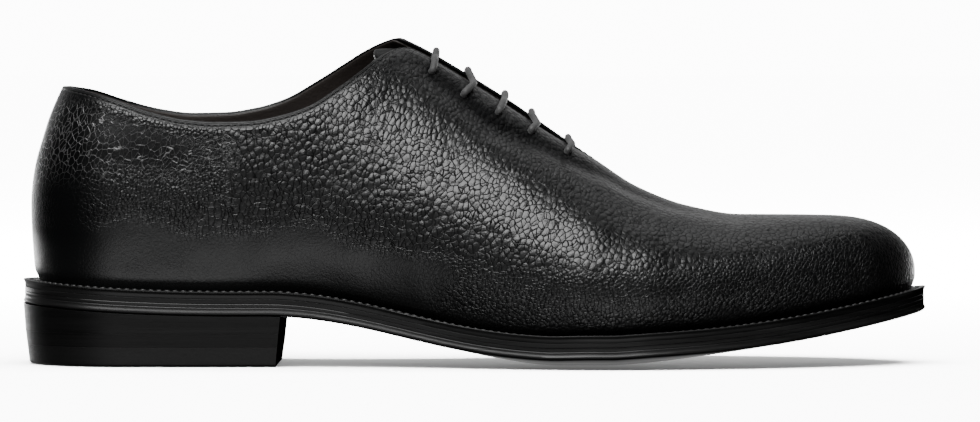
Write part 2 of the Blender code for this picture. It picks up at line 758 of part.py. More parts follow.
def clear_scene():
    """Removes whatever is in the scene."""
    for item in list(bpy.data.objects):
        bpy.data.objects.remove(item, do_unlink=True)


def main():
    """Builds the shoe."""
    clear_scene()
    leather = make_material("upper_leather", (0.02, 0.02, 0.023), 0.45)
    lining = make_material("lining_leather", (0.05, 0.04, 0.035), 0.7)
    sole_leather = make_material("sole_leather", (0.035, 0.035, 0.04), 0.4)
    rubber = make_material("heel_rubber", (0.03, 0.03, 0.032), 0.6)
    cord = make_material("lace_cord", (0.06, 0.06, 0.065), 0.6)
    build_upper(leather)
    build_tongue(leather)
    build_insole(lining)
    build_welt(sole_leather)
    build_outsole(sole_leather)
    build_heel(sole_leather, rubber)
    build_lace(cord)


main()
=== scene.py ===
"""Looks for a whole cut oxford, the right shoe of a pair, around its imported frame.

The toe points along +X, the outer side of the foot lies at -Y, and the floor is Z = 0.
Sizes are in millimetres until a mesh is made, where MM turns them into metres.
"""
import math
from collections import namedtuple

import bmesh
import bpy
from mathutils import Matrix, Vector, noise
from mathutils.bvhtree import BVHTree


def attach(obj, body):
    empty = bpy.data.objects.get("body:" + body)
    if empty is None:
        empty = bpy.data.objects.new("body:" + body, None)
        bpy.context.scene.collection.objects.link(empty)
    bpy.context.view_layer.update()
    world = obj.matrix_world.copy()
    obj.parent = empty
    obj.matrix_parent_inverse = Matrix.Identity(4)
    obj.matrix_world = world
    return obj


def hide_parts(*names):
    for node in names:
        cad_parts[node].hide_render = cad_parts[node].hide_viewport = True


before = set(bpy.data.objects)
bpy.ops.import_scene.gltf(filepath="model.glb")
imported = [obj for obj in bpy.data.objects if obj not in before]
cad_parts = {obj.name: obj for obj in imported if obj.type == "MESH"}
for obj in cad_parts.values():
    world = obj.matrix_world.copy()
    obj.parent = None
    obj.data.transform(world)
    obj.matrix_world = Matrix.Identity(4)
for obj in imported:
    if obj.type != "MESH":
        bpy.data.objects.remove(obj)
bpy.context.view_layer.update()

MM = 0.001

# Driving sizes
LENGTH = 306.0            # sole, from the back of the heel to the tip of the toe
BALL_WIDTH = 102.0        # sole, across the ball
INSTEP_HEIGHT = 108.5     # top of the facings above the floor
HEEL_HEIGHT = 17.0        # underside of the outsole above the floor, over the heel
TOE_SPRING = 18.0         # underside of the outsole above the floor, at the toe

# One per cent of each driving size, the unit of the tables below
ALONG = LENGTH / 100
ACROSS = BALL_WIDTH / 100
UP = INSTEP_HEIGHT / 100

HEEL_TIP = -LENGTH / 2
TOE_TIP = LENGTH / 2
GAP = 0.3                 # between pieces that touch on the real shoe
WALL = 2.0                # leather and lining of the upper together

# Sole: its layers, the flat spot under the ball and the curve that rises either side of it
OUTSOLE_THICKNESS = 4.0
WELT_THICKNESS = 3.9
WELT_WIDTH = 11.0
INSOLE_THICKNESS = 2.4
INSOLE_LAP = 2.4          # how far the insole's flange lies over the welt
FLAT_FROM = 28.0
FLAT_TO = 46.0
FLAT_HALF_WIDTH = 15.0
ARCH_BACK = -70.0         # where the arch meets the heel seat
ARCH_CURVE = 0.85
SPRING_CURVE = 1.35
SEAT_RISE = 3.5           # rise of the heel seat's cup at the very back
SEAT_FROM = -80.0
CROWN = 3.1               # rise of the sole's edge above its middle, at the ball
CROWN_REACH = 35.0
CROWN_FROM = -30.0        # the waist behind this is flat from side to side
CROWN_FULL = 25.0
CROWN_EASE_FROM = 50.0    # from here the crown eases off towards the toe
CROWN_EASE_TO = 125.0
TOE_CROWN = 0.25          # share of the crown left at the toe

# Round ends of the sole's outline
HEEL_ROUND_FROM = -118.0
TOE_ROUND_FROM = 95.0
HEEL_ROUNDNESS = 2.0
TOE_ROUNDNESS = 2.8

# Heel: three layers, tapered towards the floor
BREAST_TOP = -64.6
BREAST_SLOPE = 1.7        # how far the breast leans back at the floor
HEEL_TAPER = 2.1
TOP_PIECE_HEIGHT = 6.4
LOWER_LIFT_TOP = 11.0

# Upper: back curve of the heel, toe wall, throat and eyelets
BACK_BULGE = 1.3
BULGE_HEIGHT = 53.0
BULGE_DROP = 23.0
BACK_LEAN = 10.9
LEAN_HEIGHT = 41.0
LEAN_CURVE = 1.9
LEAN_REACH = 70.0
TOE_CAP_FROM = 118.0
TOE_WALL_TOP = 31.0
TOE_CAP_CURVE = 2.6
THROAT_TOP = -20.0
THROAT_END = 41.8
THROAT_TOP_GAP = 3.5      # half the gap between the facings
THROAT_END_GAP = 1.2

# Tongue
TONGUE_GAP = 0.4
TONGUE_THICKNESS = 2.0
TAB_TIP = -33.4
TONGUE_TO = 48.0
TONGUE_TOP_HALF = 22.0
TONGUE_END_HALF = 12.0
TAB_FROM = -18.0
TAB_DROP = 6.4
TAB_CURVE = 1.3

# Eyelets and lace: each row is a pair of eyelets, how far each lies from the ridge of the
# instep, how far the bar between them lies forward at the ridge, and how much it snakes
Eyelets = namedtuple("Eyelets", "x lateral medial shift snake")
EYELETS = (
    Eyelets(-14.1, 12.7, 12.0, 0.5, 0.0),
    Eyelets(-3.2, 15.2, 12.5, 0.9, 1.9),
    Eyelets(8.3, 15.4, 12.5, 1.5, 0.0),
    Eyelets(19.3, 15.2, 12.5, -0.3, 1.5),
    Eyelets(31.6, 14.2, 12.5, -0.3, 1.0),
)
FAR_SNAKE = 0.35          # share of the snaking left on the inner side of the shoe

# Where the close steps of the upper's round ends begin
HEEL_REACH = -114.0
TOE_REACH = 111.0
WELD = 0.001


class Table:
    """Rows of numbers under named columns, read on a smooth curve between the rows."""

    def __init__(self, names, rows):
        self.names = names.split()
        self.rows = rows

    def at(self, x, name):
        """The named column at x, which is in the unit of the first column."""
        column = self.names.index(name)
        places = [row[0] for row in self.rows]
        values = [row[column] for row in self.rows]
        if x <= places[0]:
            return values[0]
        if x >= places[-1]:
            return values[-1]
        steps = [(values[i + 1] - values[i]) / (places[i + 1] - places[i])
                 for i in range(len(values) - 1)]
        k = max(i for i in range(len(steps)) if places[i] <= x)
        width = places[k + 1] - places[k]
        t = (x - places[k]) / width
        slope_a = steps[k] if k == 0 else level_slope(steps[k - 1], steps[k])
        slope_b = steps[k] if k == len(steps) - 1 else level_slope(steps[k], steps[k + 1])
        return ((2 * t ** 3 - 3 * t ** 2 + 1) * values[k]
                + (t ** 3 - 2 * t ** 2 + t) * width * slope_a
                + (3 * t ** 2 - 2 * t ** 3) * values[k + 1]
                + (t ** 3 - t ** 2) * width * slope_b)


def level_slope(before, after):
    """The slope at a row between two steps, which never makes the curve overshoot."""
    if before * after <= 0:
        return 0.0
    return 2 * before * after / (before + after)


# Half widths of the sole in per cent of the ball width. The round ends are added to these.
SOLE = Table("x lateral medial", (
    (-31.0, 33.3, 33.3),
    (-24.5, 32.8, 32.2),
    (-18.0, 32.4, 29.7),
    (-11.4, 33.6, 28.3),
    (-4.9, 37.3, 29.2),
    (1.6, 42.8, 33.3),
    (8.2, 48.0, 40.7),
    (13.1, 50.3, 46.4),
    (18.0, 49.8, 49.9),
    (21.2, 48.3, 50.5),
    (26.1, 44.9, 49.0),
    (31.0, 40.6, 46.1),
    (39.2, 33.0, 40.6),
    (44.1, 29.6, 36.8),
    (50.0, 25.5, 33.2),
))

# Upper's sections. "in_" columns give how far the widest line lies inside the sole's edge, "up_"
# columns how far it lies above the welt, full the squareness of the dome over it, top the
# ridge's height in per cent of the instep height, and drop how much lower the near facing lies.
UPPER = Table("x in_lateral in_medial up_lateral up_medial full ridge top drop", (
    (-48.0, 4.0, 4.0, 24.0, 24.0, 2.2, 0.0, 103.2, 0.0),
    (-39.2, 3.2, 3.2, 24.0, 25.0, 2.2, 0.0, 106.9, 0.0),
    (-29.4, 2.8, 2.4, 23.0, 27.0, 2.1, 0.6, 109.7, 0.0),
    (-19.6, 0.8, -1.4, 22.0, 28.0, 2.0, 1.5, 110.6, 0.0),
    (-13.1, 0.2, -3.0, 21.0, 28.0, 1.85, 2.4, 108.3, 0.9),
    (-6.5, 0.0, -3.5, 20.0, 27.0, 1.75, 3.0, 100.4, 1.4),
    (-1.3, 0.8, -3.2, 19.0, 25.0, 1.75, 3.0, 91.7, 1.4),
    (3.9, 1.5, -2.0, 17.0, 22.0, 1.8, 3.2, 82.2, 1.4),
    (9.2, 2.0, -0.5, 15.5, 19.0, 1.85, 3.5, 71.6, 0.9),
    (13.66, 2.3, 0.9, 14.0, 16.0, 1.92, 4.0, 63.0, 0.0),
    (18.0, 2.3, 1.3, 13.0, 14.5, 2.0, 4.4, 55.1, 0.0),
    (23.5, 2.5, 1.9, 12.0, 13.0, 2.15, 4.8, 49.2, 0.0),
    (29.4, 3.0, 2.5, 11.0, 12.0, 2.3, 5.0, 46.4, 0.0),
    (35.9, 3.3, 3.1, 9.5, 10.0, 2.5, 4.7, 46.3, 0.0),
    (40.5, 3.4, 3.4, 8.0, 8.5, 2.6, 4.4, 46.1, 0.0),
    (48.0, 3.5, 3.5, 1.6, 1.6, 2.6, 4.03, 46.0, 0.0),
))

# Feather line, where the upper meets the welt, inside the sole's edge
FEATHER = Table("x lateral medial", (
    (-48.0, 4.0, 4.0),
    (-39.2, 4.6, 4.6),
    (-24.5, 5.0, 4.4),
    (-11.4, 4.8, 3.0),
    (1.6, 5.2, 3.4),
    (13.1, 6.0, 5.2),
    (26.1, 6.0, 6.0),
    (39.2, 5.4, 5.4),
    (48.0, 3.5, 3.5),
))

# Collar's height in per cent of the instep height
COLLAR = Table("x lateral medial", (
    (-48.0, 86.7, 86.7),
    (-44.8, 85.3, 85.5),
    (-40.8, 82.9, 82.6),
    (-35.6, 78.6, 79.2),
    (-31.9, 76.4, 78.0),
    (-28.1, 75.6, 78.2),
    (-24.5, 75.9, 79.7),
    (-21.2, 77.6, 82.6),
    (-18.0, 80.6, 87.6),
    (-14.7, 86.5, 93.4),
    (-12.1, 91.9, 97.9),
    (-9.8, 97.1, 100.8),
    (-8.2, 100.2, 101.9),
    (-6.4, 100.9, 100.9),
))

LATERAL = -1
MEDIAL = 1
SIDE_NAMES = {LATERAL: "lateral", MEDIAL: "medial"}

# A level of a flat piece: how far inside the sole's edge, from where to where, and how high
Level = namedtuple("Level", "inset start end height")


def smooth(t):
    """Eases from 0 to 1 as t goes from 0 to 1."""
    t = min(1.0, max(0.0, t))
    return t * t * (3 - 2 * t)


def mix(a, b, t):
    """The value at share t of the way from a to b."""
    return a + (b - a) * t


def ease(value, span):
    """Eases from 0 to 1 as the value goes from the span's start to its end."""
    return smooth((value - span[0]) / (span[1] - span[0]))


def sole_bottom(x, y):
    """Height of the outsole's underside above the floor."""
    arch = HEEL_HEIGHT * smooth((FLAT_FROM - x) / (FLAT_FROM - ARCH_BACK)) ** ARCH_CURVE
    seat = SEAT_RISE * (max(0.0, SEAT_FROM - x) / (SEAT_FROM - HEEL_TIP)) ** 2
    spring = TOE_SPRING * (max(0.0, x - FLAT_TO) / (TOE_TIP - FLAT_TO)) ** SPRING_CURVE
    reach = max(0.0, abs(y) - FLAT_HALF_WIDTH) / CROWN_REACH
    crown = CROWN * reach ** 2 * smooth((x - CROWN_FROM) / (CROWN_FULL - CROWN_FROM))
    crown *= mix(1.0, TOE_CROWN, smooth((x - CROWN_EASE_FROM) / (CROWN_EASE_TO - CROWN_EASE_FROM)))
    return arch + seat + spring + crown


def above_sole(lift):
    """A height function that lies a fixed distance above the outsole's underside."""
    return lambda x, y: sole_bottom(x, y) + lift


def sole_edge(x, side, inset):
    """Y of the sole's outline at x, moved inwards by inset."""
    lateral = SOLE.at(x / ALONG, "lateral") * ACROSS
    medial = SOLE.at(x / ALONG, "medial") * ACROSS
    middle = (medial - lateral) / 2
    half = (medial + lateral) / 2 - inset
    if x < HEEL_ROUND_FROM:
        reach = (HEEL_ROUND_FROM - x) / (HEEL_ROUND_FROM - HEEL_TIP - inset)
        half *= math.sqrt(max(0.0, 1 - reach ** HEEL_ROUNDNESS))
    if x > TOE_ROUND_FROM:
        reach = (x - TOE_ROUND_FROM) / (TOE_TIP - inset - TOE_ROUND_FROM)
        half *= math.sqrt(max(0.0, 1 - reach ** TOE_ROUNDNESS))
    return middle + side * half


WELT_TOP = OUTSOLE_THICKNESS + GAP + WELT_THICKNESS
UPPER_BACK = HEEL_TIP + FEATHER.rows[0][1]
UPPER_TIP = TOE_TIP - FEATHER.rows[-1][1]


def throat_gap(x):
    """Half the gap between the facings, or 0 where the upper is closed over the instep."""
    if x >= THROAT_END:
        return 0.0
    return mix(THROAT_TOP_GAP, THROAT_END_GAP, (x - THROAT_TOP) / (THROAT_END - THROAT_TOP))


def ridge_height(x, depth):
    """Height of the upper's ridge, depth inside its surface, down to the wall of the toe."""
    height = UPPER.at(x / ALONG, "top") * UP
    if x > TOE_CAP_FROM:
        reach = min(1.0, (x - TOE_CAP_FROM) / (UPPER_TIP - TOE_CAP_FROM - depth))
        fall = math.sqrt(1 - reach ** TOE_CAP_CURVE)
        height = mix(TOE_WALL_TOP, height, fall)
    return height - depth


Section = namedtuple("Section", "foot_y foot_z wide_y wide_z ridge_y top_z full")


def upper_section(x, side, depth):
    """Half a cross section of the upper at x, depth inside its outer surface."""
    name = SIDE_NAMES[side]
    at = x / ALONG
    feather = FEATHER.at(at, name)
    foot_y = sole_edge(x, side, feather + depth)
    outer_foot = sole_edge(x, side, feather)
    wide_z = sole_bottom(x, outer_foot) + WELT_TOP + GAP + UPPER.at(at, "up_" + name)
    top_z = ridge_height(x, depth)
    if side == LATERAL:
        top_z -= UPPER.at(at, "drop")
    return Section(
        foot_y=foot_y,
        foot_z=sole_bottom(x, foot_y) + WELT_TOP + GAP,
        wide_y=sole_edge(x, side, UPPER.at(at, "in_" + name) + depth),
        wide_z=min(wide_z, top_z),
        ridge_y=UPPER.at(at, "ridge"),
        top_z=top_z,
        full=UPPER.at(at, "full"),
    )


def heel_lean(x, z, back):
    """How far a point at height z moves forward along the curved back of the heel."""
    fade = max(0.0, 1 - (x - back) / LEAN_REACH) ** 2
    if z < BULGE_HEIGHT:
        move = -BACK_BULGE * (1 - ((BULGE_HEIGHT - z) / BULGE_DROP) ** 2)
    else:
        move = BACK_LEAN * ((z - BULGE_HEIGHT) / LEAN_HEIGHT) ** LEAN_CURVE - BACK_BULGE
    return move * fade


def dome_end(x, side, section):
    """Angle at which the dome ends: at the collar, at the throat or at the ridge."""
    power = section.full / 2
    end = math.pi / 2
    collar = COLLAR.at(x / ALONG, SIDE_NAMES[side]) * UP
    if x <= THROAT_TOP:
        rise = (collar - section.wide_z) / (section.top_z - section.wide_z)
        end = math.asin(min(1.0, rise) ** power)
    gap = throat_gap(x)
    width = abs(section.wide_y - section.ridge_y)
    if gap and width > gap:
        end = min(end, math.acos((min(gap, THROAT_TOP_GAP) / width) ** power))
    return end


def inner_place(x, depth):
    """X of the inner section that belongs to an outer one: only the round ends move inwards."""
    heel_share = max(0.0, (HEEL_ROUND_FROM - x) / (HEEL_ROUND_FROM - UPPER_BACK))
    toe_share = max(0.0, (x - TOE_ROUND_FROM) / (UPPER_TIP - TOE_ROUND_FROM))
    return x + depth * heel_share - depth * toe_share


def add_quads(mesh, rows, closed=False):
    """Joins neighbouring rows of vertices with faces."""
    for row, following in zip(rows, rows[1:]):
        count = len(row)
        for i in range(count if closed else count - 1):
            j = (i + 1) % count
            mesh.faces.new((row[i], row[j], following[j], following[i]))


def add_row(mesh, points):
    """Makes a vertex for each point and returns them in order."""
    return [mesh.verts.new(Vector(point) * MM) for point in points]


def roof_point(x, y, depth):
    """The point at x and y on the facings, or on the line between them, depth inside."""
    side = LATERAL if y < UPPER.at(x / ALONG, "ridge") else MEDIAL
    section = upper_section(x, side, depth)
    drop = UPPER.at(x / ALONG, "drop")
    gap = THROAT_TOP_GAP
    share = smooth((y - section.ridge_y + gap) / (2 * gap))
    top_z = ridge_height(x, depth) - mix(drop, 0.0, share)
    reach = min(1.0, abs(y - section.ridge_y) / abs(section.wide_y - section.ridge_y))
    rise = (1 - reach ** section.full) ** (1 / section.full)
    return Vector((x, y, mix(section.wide_z, top_z, rise)))


def roof_normal(x, y):
    """The direction away from the foot on the facings."""
    step = 0.5
    along = roof_point(x + step, y, 0.0) - roof_point(x - step, y, 0.0)
    across = roof_point(x, y + step, 0.0) - roof_point(x, y - step, 0.0)
    return along.cross(across).normalized()


def eyelet_place(pair, side):
    """The middle of an eyelet on the surface of its facing."""
    reach = pair.medial if side == MEDIAL else pair.lateral
    return roof_point(pair.x, UPPER.at(pair.x / ALONG, "ridge") + side * reach, 0.0)


def level_row(level, share, side, columns):
    """Points of a level across the piece, from the edge on one side to the other."""
    x = mix(level.start, level.end, share)
    near = sole_edge(x, LATERAL, level.inset)
    far = sole_edge(x, MEDIAL, level.inset)
    if side is not None:
        y = far if side == MEDIAL else near
        return [(x, y, level.height(x, y))]
    row = []
    for k in range(columns):
        y = mix(near, far, k / (columns - 1))
        row.append((x, y, level.height(x, y)))
    return row


def whole_level(inset, lift):
    """A level from the back of the heel to the tip of the toe, lift above the underside."""
    return Level(inset, HEEL_TIP + inset, TOE_TIP - inset, above_sole(lift))


def curve_point(points, t):
    """A point at t, from 0 to 1, on a smooth curve through the points."""
    span = min(len(points) - 2, int(t * (len(points) - 1)))
    local = t * (len(points) - 1) - span
    a = points[max(0, span - 1)]
    b = points[span]
    c = points[span + 1]
    d = points[min(len(points) - 1, span + 2)]
    return 0.5 * (2 * b + (c - a) * local + (2 * a - 5 * b + 4 * c - d) * local ** 2
                  + (3 * b - a - 3 * c + d) * local ** 3)


# Fine upper: steps of its grid and the layers of its edge
FINE_END_STEPS = 26
FINE_PITCH = 1.3
FINE_SIDE_STEPS = 20
FINE_DOME_STEPS = 60
OUTER_POINTS = 90
LINING_POINTS = 60
LEATHER_THICKNESS = 1.2
LINING_DEPTH = 1.3
LINING_THICKNESS = 0.7
LINING_TRIM = 1.5         # how far the lining ends below the leather's edge
RIM_STEPS = 6

# Rounding of the facings' top corners: side, middle, reach along the shoe and passes
CornerRound = namedtuple("CornerRound", "side x reach times")
CORNER_ROUNDS = (
    CornerRound(LATERAL, -24.5, 5.0, 6),
    CornerRound(LATERAL, -24.5, 2.6, 6),
    CornerRound(MEDIAL, -24.5, 3.0, 1),
)
FOOT_SINK = 0.3           # the upper's foot closes the frame's gap to the welt

# Soft trough along the facings: its distance from the edge, its depth and half width, and how
# much painted shade cuts the gloss of a band along its upper side
TROUGH = Table("x place depth width dark", (
    (-10.0, 12.0, 0.0, 5.5, 0.0),
    (-6.0, 13.0, 0.6, 6.0, 0.5),
    (-3.9, 15.0, 1.2, 6.5, 0.75),
    (-0.5, 19.0, 1.7, 7.0, 0.8),
    (1.7, 22.0, 1.9, 7.0, 0.85),
    (5.0, 21.0, 1.8, 7.0, 0.8),
    (8.8, 19.0, 1.6, 7.0, 0.8),
    (12.4, 19.0, 1.4, 7.0, 0.8),
    (16.0, 18.0, 1.1, 7.0, 0.75),
    (20.6, 18.0, 0.7, 7.0, 0.7),
    (25.0, 18.0, 0.3, 7.0, 0.4),
    (31.0, 19.0, 0.0, 8.0, 0.0),
))

# Feather crease, where the leather turns in over the welt
CREASE_DEPTH = 1.1
CREASE_WIDTH = 2.4

# The near facing leans in along its edge, and the leather lies in slow waves: length and height
EDGE_DIP = 0.8
EDGE_DIP_WIDTH = 3.5
EDGE_DIP_EASE = 20.0
WAVES = ((22.0, 0.35), (9.0, 0.12))

# Creases of the walked vamp and quarter: start, end, depth and half width, by x and distance
# up from the welt, on the lateral side; the medial side has them mirrored and weaker
Fold = namedtuple("Fold", "x_from up_from x_to up_to depth width")
FOLDS = (
    Fold(8.0, 52.0, 26.0, 30.0, 0.25, 4.0),
    Fold(22.0, 46.0, 40.0, 26.0, 0.2, 4.0),
    Fold(-14.0, 60.0, 4.0, 34.0, 0.2, 4.5),
    Fold(-70.0, 52.0, -40.0, 40.0, 0.2, 5.0),
    Fold(44.0, 40.0, 56.0, 24.0, 0.15, 3.5),
)
MEDIAL_SHARE = 0.7

# Stitching
STITCH_PITCH = 2.2
STITCH_LENGTH = 1.7
STITCH_RADIUS = 0.2
FACING_STITCH_IN = 0.95
WELT_STITCH_PITCH = 2.7
WELT_STITCH_LENGTH = 1.9
WELT_STITCH_RADIUS = 0.38
WELT_STITCH_IN = 2.4

# Lace of the looks: closer to the leather than the frame's bars, and on through the eyelets
HOLE_RADIUS = 1.7
CORD_RADIUS = 1.2
CORD_STEPS = 420
UNDER_DEPTH = 4.7
TRACK = 1.5               # two hidden runs lie this far either side of the eyelets' line


def line_mesh():
    """A new mesh with the two lengths that the materials and creases need."""
    mesh = bmesh.new()
    mesh.verts.layers.float.new("down")
    mesh.verts.layers.float.new("up")
    return mesh


def fine_stations():
    """X of each section of the fine upper."""
    places = []
    for step in range(FINE_END_STEPS):
        share = 1 - math.cos(math.pi / 2 * step / FINE_END_STEPS)
        places.append(UPPER_BACK + (HEEL_REACH - UPPER_BACK) * share)
        places.append(UPPER_TIP - (UPPER_TIP - TOE_REACH) * share)
    for start, end in ((HEEL_REACH, THROAT_TOP), (THROAT_TOP, THROAT_END),
                       (THROAT_END, TOE_REACH)):
        count = math.ceil((end - start) / FINE_PITCH)
        places += [mix(start, end, step / count) for step in range(count)]
    return sorted(places + [TOE_REACH])


def fine_column(x, side, depth, outer_x, trim, count):
    """Evenly spaced points up half a section, with their lengths from the top and the foot."""
    section = upper_section(x, side, depth)
    path = []
    for step in range(FINE_SIDE_STEPS):
        t = step / FINE_SIDE_STEPS
        y = mix(section.foot_y, section.wide_y, 1 - (1 - t) ** 2)
        path.append((y, mix(section.foot_z - FOOT_SINK, section.wide_z, t)))
    end = dome_end(outer_x, side, section)
    closed = outer_x >= THROAT_END
    for step in range(FINE_DOME_STEPS + 1):
        angle = end * step / FINE_DOME_STEPS
        across = math.cos(angle) ** (2 / section.full)
        rise = math.sin(angle) ** (2 / section.full)
        if closed and step == FINE_DOME_STEPS:
            across = 0.0
        y = mix(section.ridge_y, section.wide_y, across)
        path.append((y, mix(section.wide_z, section.top_z, rise)))
    lengths = [0.0]
    for before, after in zip(path, path[1:]):
        lengths.append(lengths[-1] + math.dist(before, after))
    total = lengths[-1] - (0.0 if closed else trim)
    points = []
    k = 0
    for step in range(count + 1):
        goal = total * step / count
        while k < len(path) - 2 and lengths[k + 1] < goal:
            k += 1
        share = (goal - lengths[k]) / max(1e-9, lengths[k + 1] - lengths[k])
        y = mix(path[k][0], path[k + 1][0], share)
        z = mix(path[k][1], path[k + 1][1], share)
        lean = heel_lean(x, z, UPPER_BACK + depth)
        points.append((Vector((x + lean, y, z)), total - goal, goal))
    return points


def upper_grid(depth, trim, count):
    """A sheet of the upper at a depth, both sides welded where they meet."""
    mesh = line_mesh()
    down = mesh.verts.layers.float["down"]
    up = mesh.verts.layers.float["up"]
    for side in (LATERAL, MEDIAL):
        rows = []
        for x in fine_stations():
            inner_x = inner_place(x, depth)
            row = []
            for point, to_top, to_foot in fine_column(inner_x, side, depth, x, trim, count):
                vert = mesh.verts.new(point * MM)
                vert[down] = to_top
                vert[up] = to_foot
                row.append(vert)
            rows.append(row)
        add_quads(mesh, rows[::-1] if side == LATERAL else rows)
    bmesh.ops.remove_doubles(mesh, verts=mesh.verts, dist=WELD * MM)
    bmesh.ops.dissolve_degenerate(mesh, edges=mesh.edges, dist=WELD * MM)
    mesh.normal_update()
    return mesh


def round_corner(mesh):
    """Rounds the top corners of the facings, where collar and throat meet."""
    for part in CORNER_ROUNDS:
        ridge = UPPER.at(part.x / ALONG, "ridge")
        near = [vert for vert in mesh.verts
                if abs(vert.co.x / MM - part.x) < part.reach and vert.co.z / MM > 100.0
                and part.side * (vert.co.y / MM - ridge) > 0]
        for _ in range(part.times):
            bmesh.ops.smooth_vert(mesh, verts=near, factor=0.5, use_axis_x=True,
                                  use_axis_y=True, use_axis_z=True)
    mesh.normal_update()


def punch_eyelets(mesh, radius):
    """Cuts the round lace holes and pulls their edges onto a circle."""
    for pair in EYELETS:
        for side in (LATERAL, MEDIAL):
            middle = eyelet_place(pair, side) * MM
            axis = roof_normal(middle.x / MM, middle.y / MM)

            def away(place):
                offset = place - middle
                flat = offset - axis * offset.dot(axis)
                return flat.length / MM, abs(offset.dot(axis)) / MM, flat

            inside = []
            for face in mesh.faces:
                flat, depth, _ = away(face.calc_center_median())
                if flat < radius and depth < 4 * WALL:
                    inside.append(face)
            ring = {vert for face in inside for vert in face.verts}
            bmesh.ops.delete(mesh, geom=inside, context="FACES")
            for vert in ring:
                if vert.is_valid and vert.link_faces:
                    _, _, flat = away(vert.co)
                    vert.co += flat * (radius * MM / flat.length - 1)
    mesh.normal_update()


def thicken(mesh, thickness, steps=RIM_STEPS):
    """Gives a sheet its thickness inwards, with rounded edges."""
    mesh.normal_update()
    outer = list(mesh.verts)
    faces = list(mesh.faces)
    loops = [edge.link_loops[0] for edge in mesh.edges if edge.is_boundary]
    outwards = {}
    for loop in loops:
        a = loop.vert
        b = loop.link_loop_next.vert
        push = (b.co - a.co).cross(loop.face.normal).normalized()
        for vert in (a, b):
            outwards[vert] = outwards.get(vert, Vector()) + push
    half = thickness * MM / 2
    inner = {}
    normals = {vert: vert.normal.copy() for vert in outer}
    for vert in outer:
        inner[vert] = mesh.verts.new(vert.co - normals[vert] * 2 * half, vert)
    rings = {}
    for vert, push in outwards.items():
        push.normalize()
        ring = [vert]
        for step in range(1, steps):
            angle = math.pi * step / steps
            place = (vert.co - normals[vert] * half * (1 - math.cos(angle))
                     + push * half * math.sin(angle))
            ring.append(mesh.verts.new(place, vert))
        rings[vert] = ring + [inner[vert]]
    for face in faces:
        mesh.faces.new([inner[vert] for vert in reversed(face.verts)])
    for loop in loops:
        a = rings[loop.vert]
        b = rings[loop.link_loop_next.vert]
        for k in range(steps):
            mesh.faces.new((b[k], a[k], a[k + 1], b[k + 1]))


def bell(distance, width):
    """A soft bump of height 1 and the given half width."""
    return math.exp(-(distance / width) ** 2)


def relief(x, y, z, down, up, side):
    """How far the leather's surface lies out of its plain form, in millimetres."""
    at = x / ALONG
    height = 0.0
    if THROAT_TOP - 12 < x:
        height -= TROUGH.at(at, "depth") * bell(down - TROUGH.at(at, "place"),
                                                TROUGH.at(at, "width"))
    height -= CREASE_DEPTH * bell(up, CREASE_WIDTH)
    if side == LATERAL and THROAT_TOP - 12 < x < THROAT_END:
        height -= EDGE_DIP * bell(down, EDGE_DIP_WIDTH) * smooth((THROAT_END - x) / EDGE_DIP_EASE)
    share = 1.0 if side == LATERAL else MEDIAL_SHARE
    for fold in FOLDS:
        run = Vector((fold.x_to - fold.x_from, fold.up_to - fold.up_from))
        offset = Vector((x - fold.x_from, up - fold.up_from))
        t = min(1.0, max(0.0, offset.dot(run) / run.length_squared))
        apart = (offset - run * t).length
        height -= share * fold.depth * bell(apart, fold.width) * smooth(4 * t * (1 - t))
    wave = sum(noise.noise(Vector((x, y, z)) / length) * rise for length, rise in WAVES)
    return height + wave * smooth(up / 12) * smooth((down - 8) / 14)


def press(mesh):
    """Moves a sheet of the upper out of its plain form, into its troughs and creases."""
    down = mesh.verts.layers.float["down"]
    up = mesh.verts.layers.float["up"]
    moves = []
    for vert in mesh.verts:
        x, y, z = vert.co / MM
        side = LATERAL if y < UPPER.at(x / ALONG, "ridge") else MEDIAL
        moves.append(vert.normal * relief(x, y, z, vert[down], vert[up], side) * MM)
    for vert, move in zip(mesh.verts, moves):
        vert.co += move
    mesh.normal_update()


def build_leather():
    """The upper's outer leather, with a folded edge, eyelets and soft creases."""
    mesh = upper_grid(0.0, LEATHER_THICKNESS / 2, OUTER_POINTS)
    round_corner(mesh)
    punch_eyelets(mesh, HOLE_RADIUS)
    press(mesh)
    skin = BVHTree.FromBMesh(mesh)
    thicken(mesh, LEATHER_THICKNESS)
    return make_piece("leather_upper", mesh), skin


def build_lining():
    """The lining inside the leather."""
    mesh = upper_grid(LINING_DEPTH, LINING_TRIM, LINING_POINTS)
    round_corner(mesh)
    punch_eyelets(mesh, HOLE_RADIUS)
    press(mesh)
    thicken(mesh, LINING_THICKNESS, 4)
    return make_piece("lining", mesh)


def add_object(name, data):
    """A new object in the scene."""
    thing = bpy.data.objects.new(name, data)
    bpy.context.collection.objects.link(thing)
    return thing


def make_piece(name, mesh, angle=50):
    """Turns a mesh into a named object, shaded smooth."""
    data = bpy.data.meshes.new(name)
    mesh.to_mesh(data)
    mesh.free()
    data.shade_smooth()
    data.set_sharp_from_angle(angle=math.radians(angle))
    return add_object(name, data)


# Fine tongue: its rounded tab, its grid and the room that it leaves for the hidden lace
FINE_TAB_CORNER = 0.985
FINE_TAB_ROUND = 20.0
TONGUE_FINE_STEPS = 90
TONGUE_FINE_COLUMNS = 44
LACE_GROOVE = 3.6
LACE_REACH = 14.0
LACE_GROOVE_WIDTH = 7.0
TONGUE_CROWDING = 1.8     # how much closer its rows stand at the tab


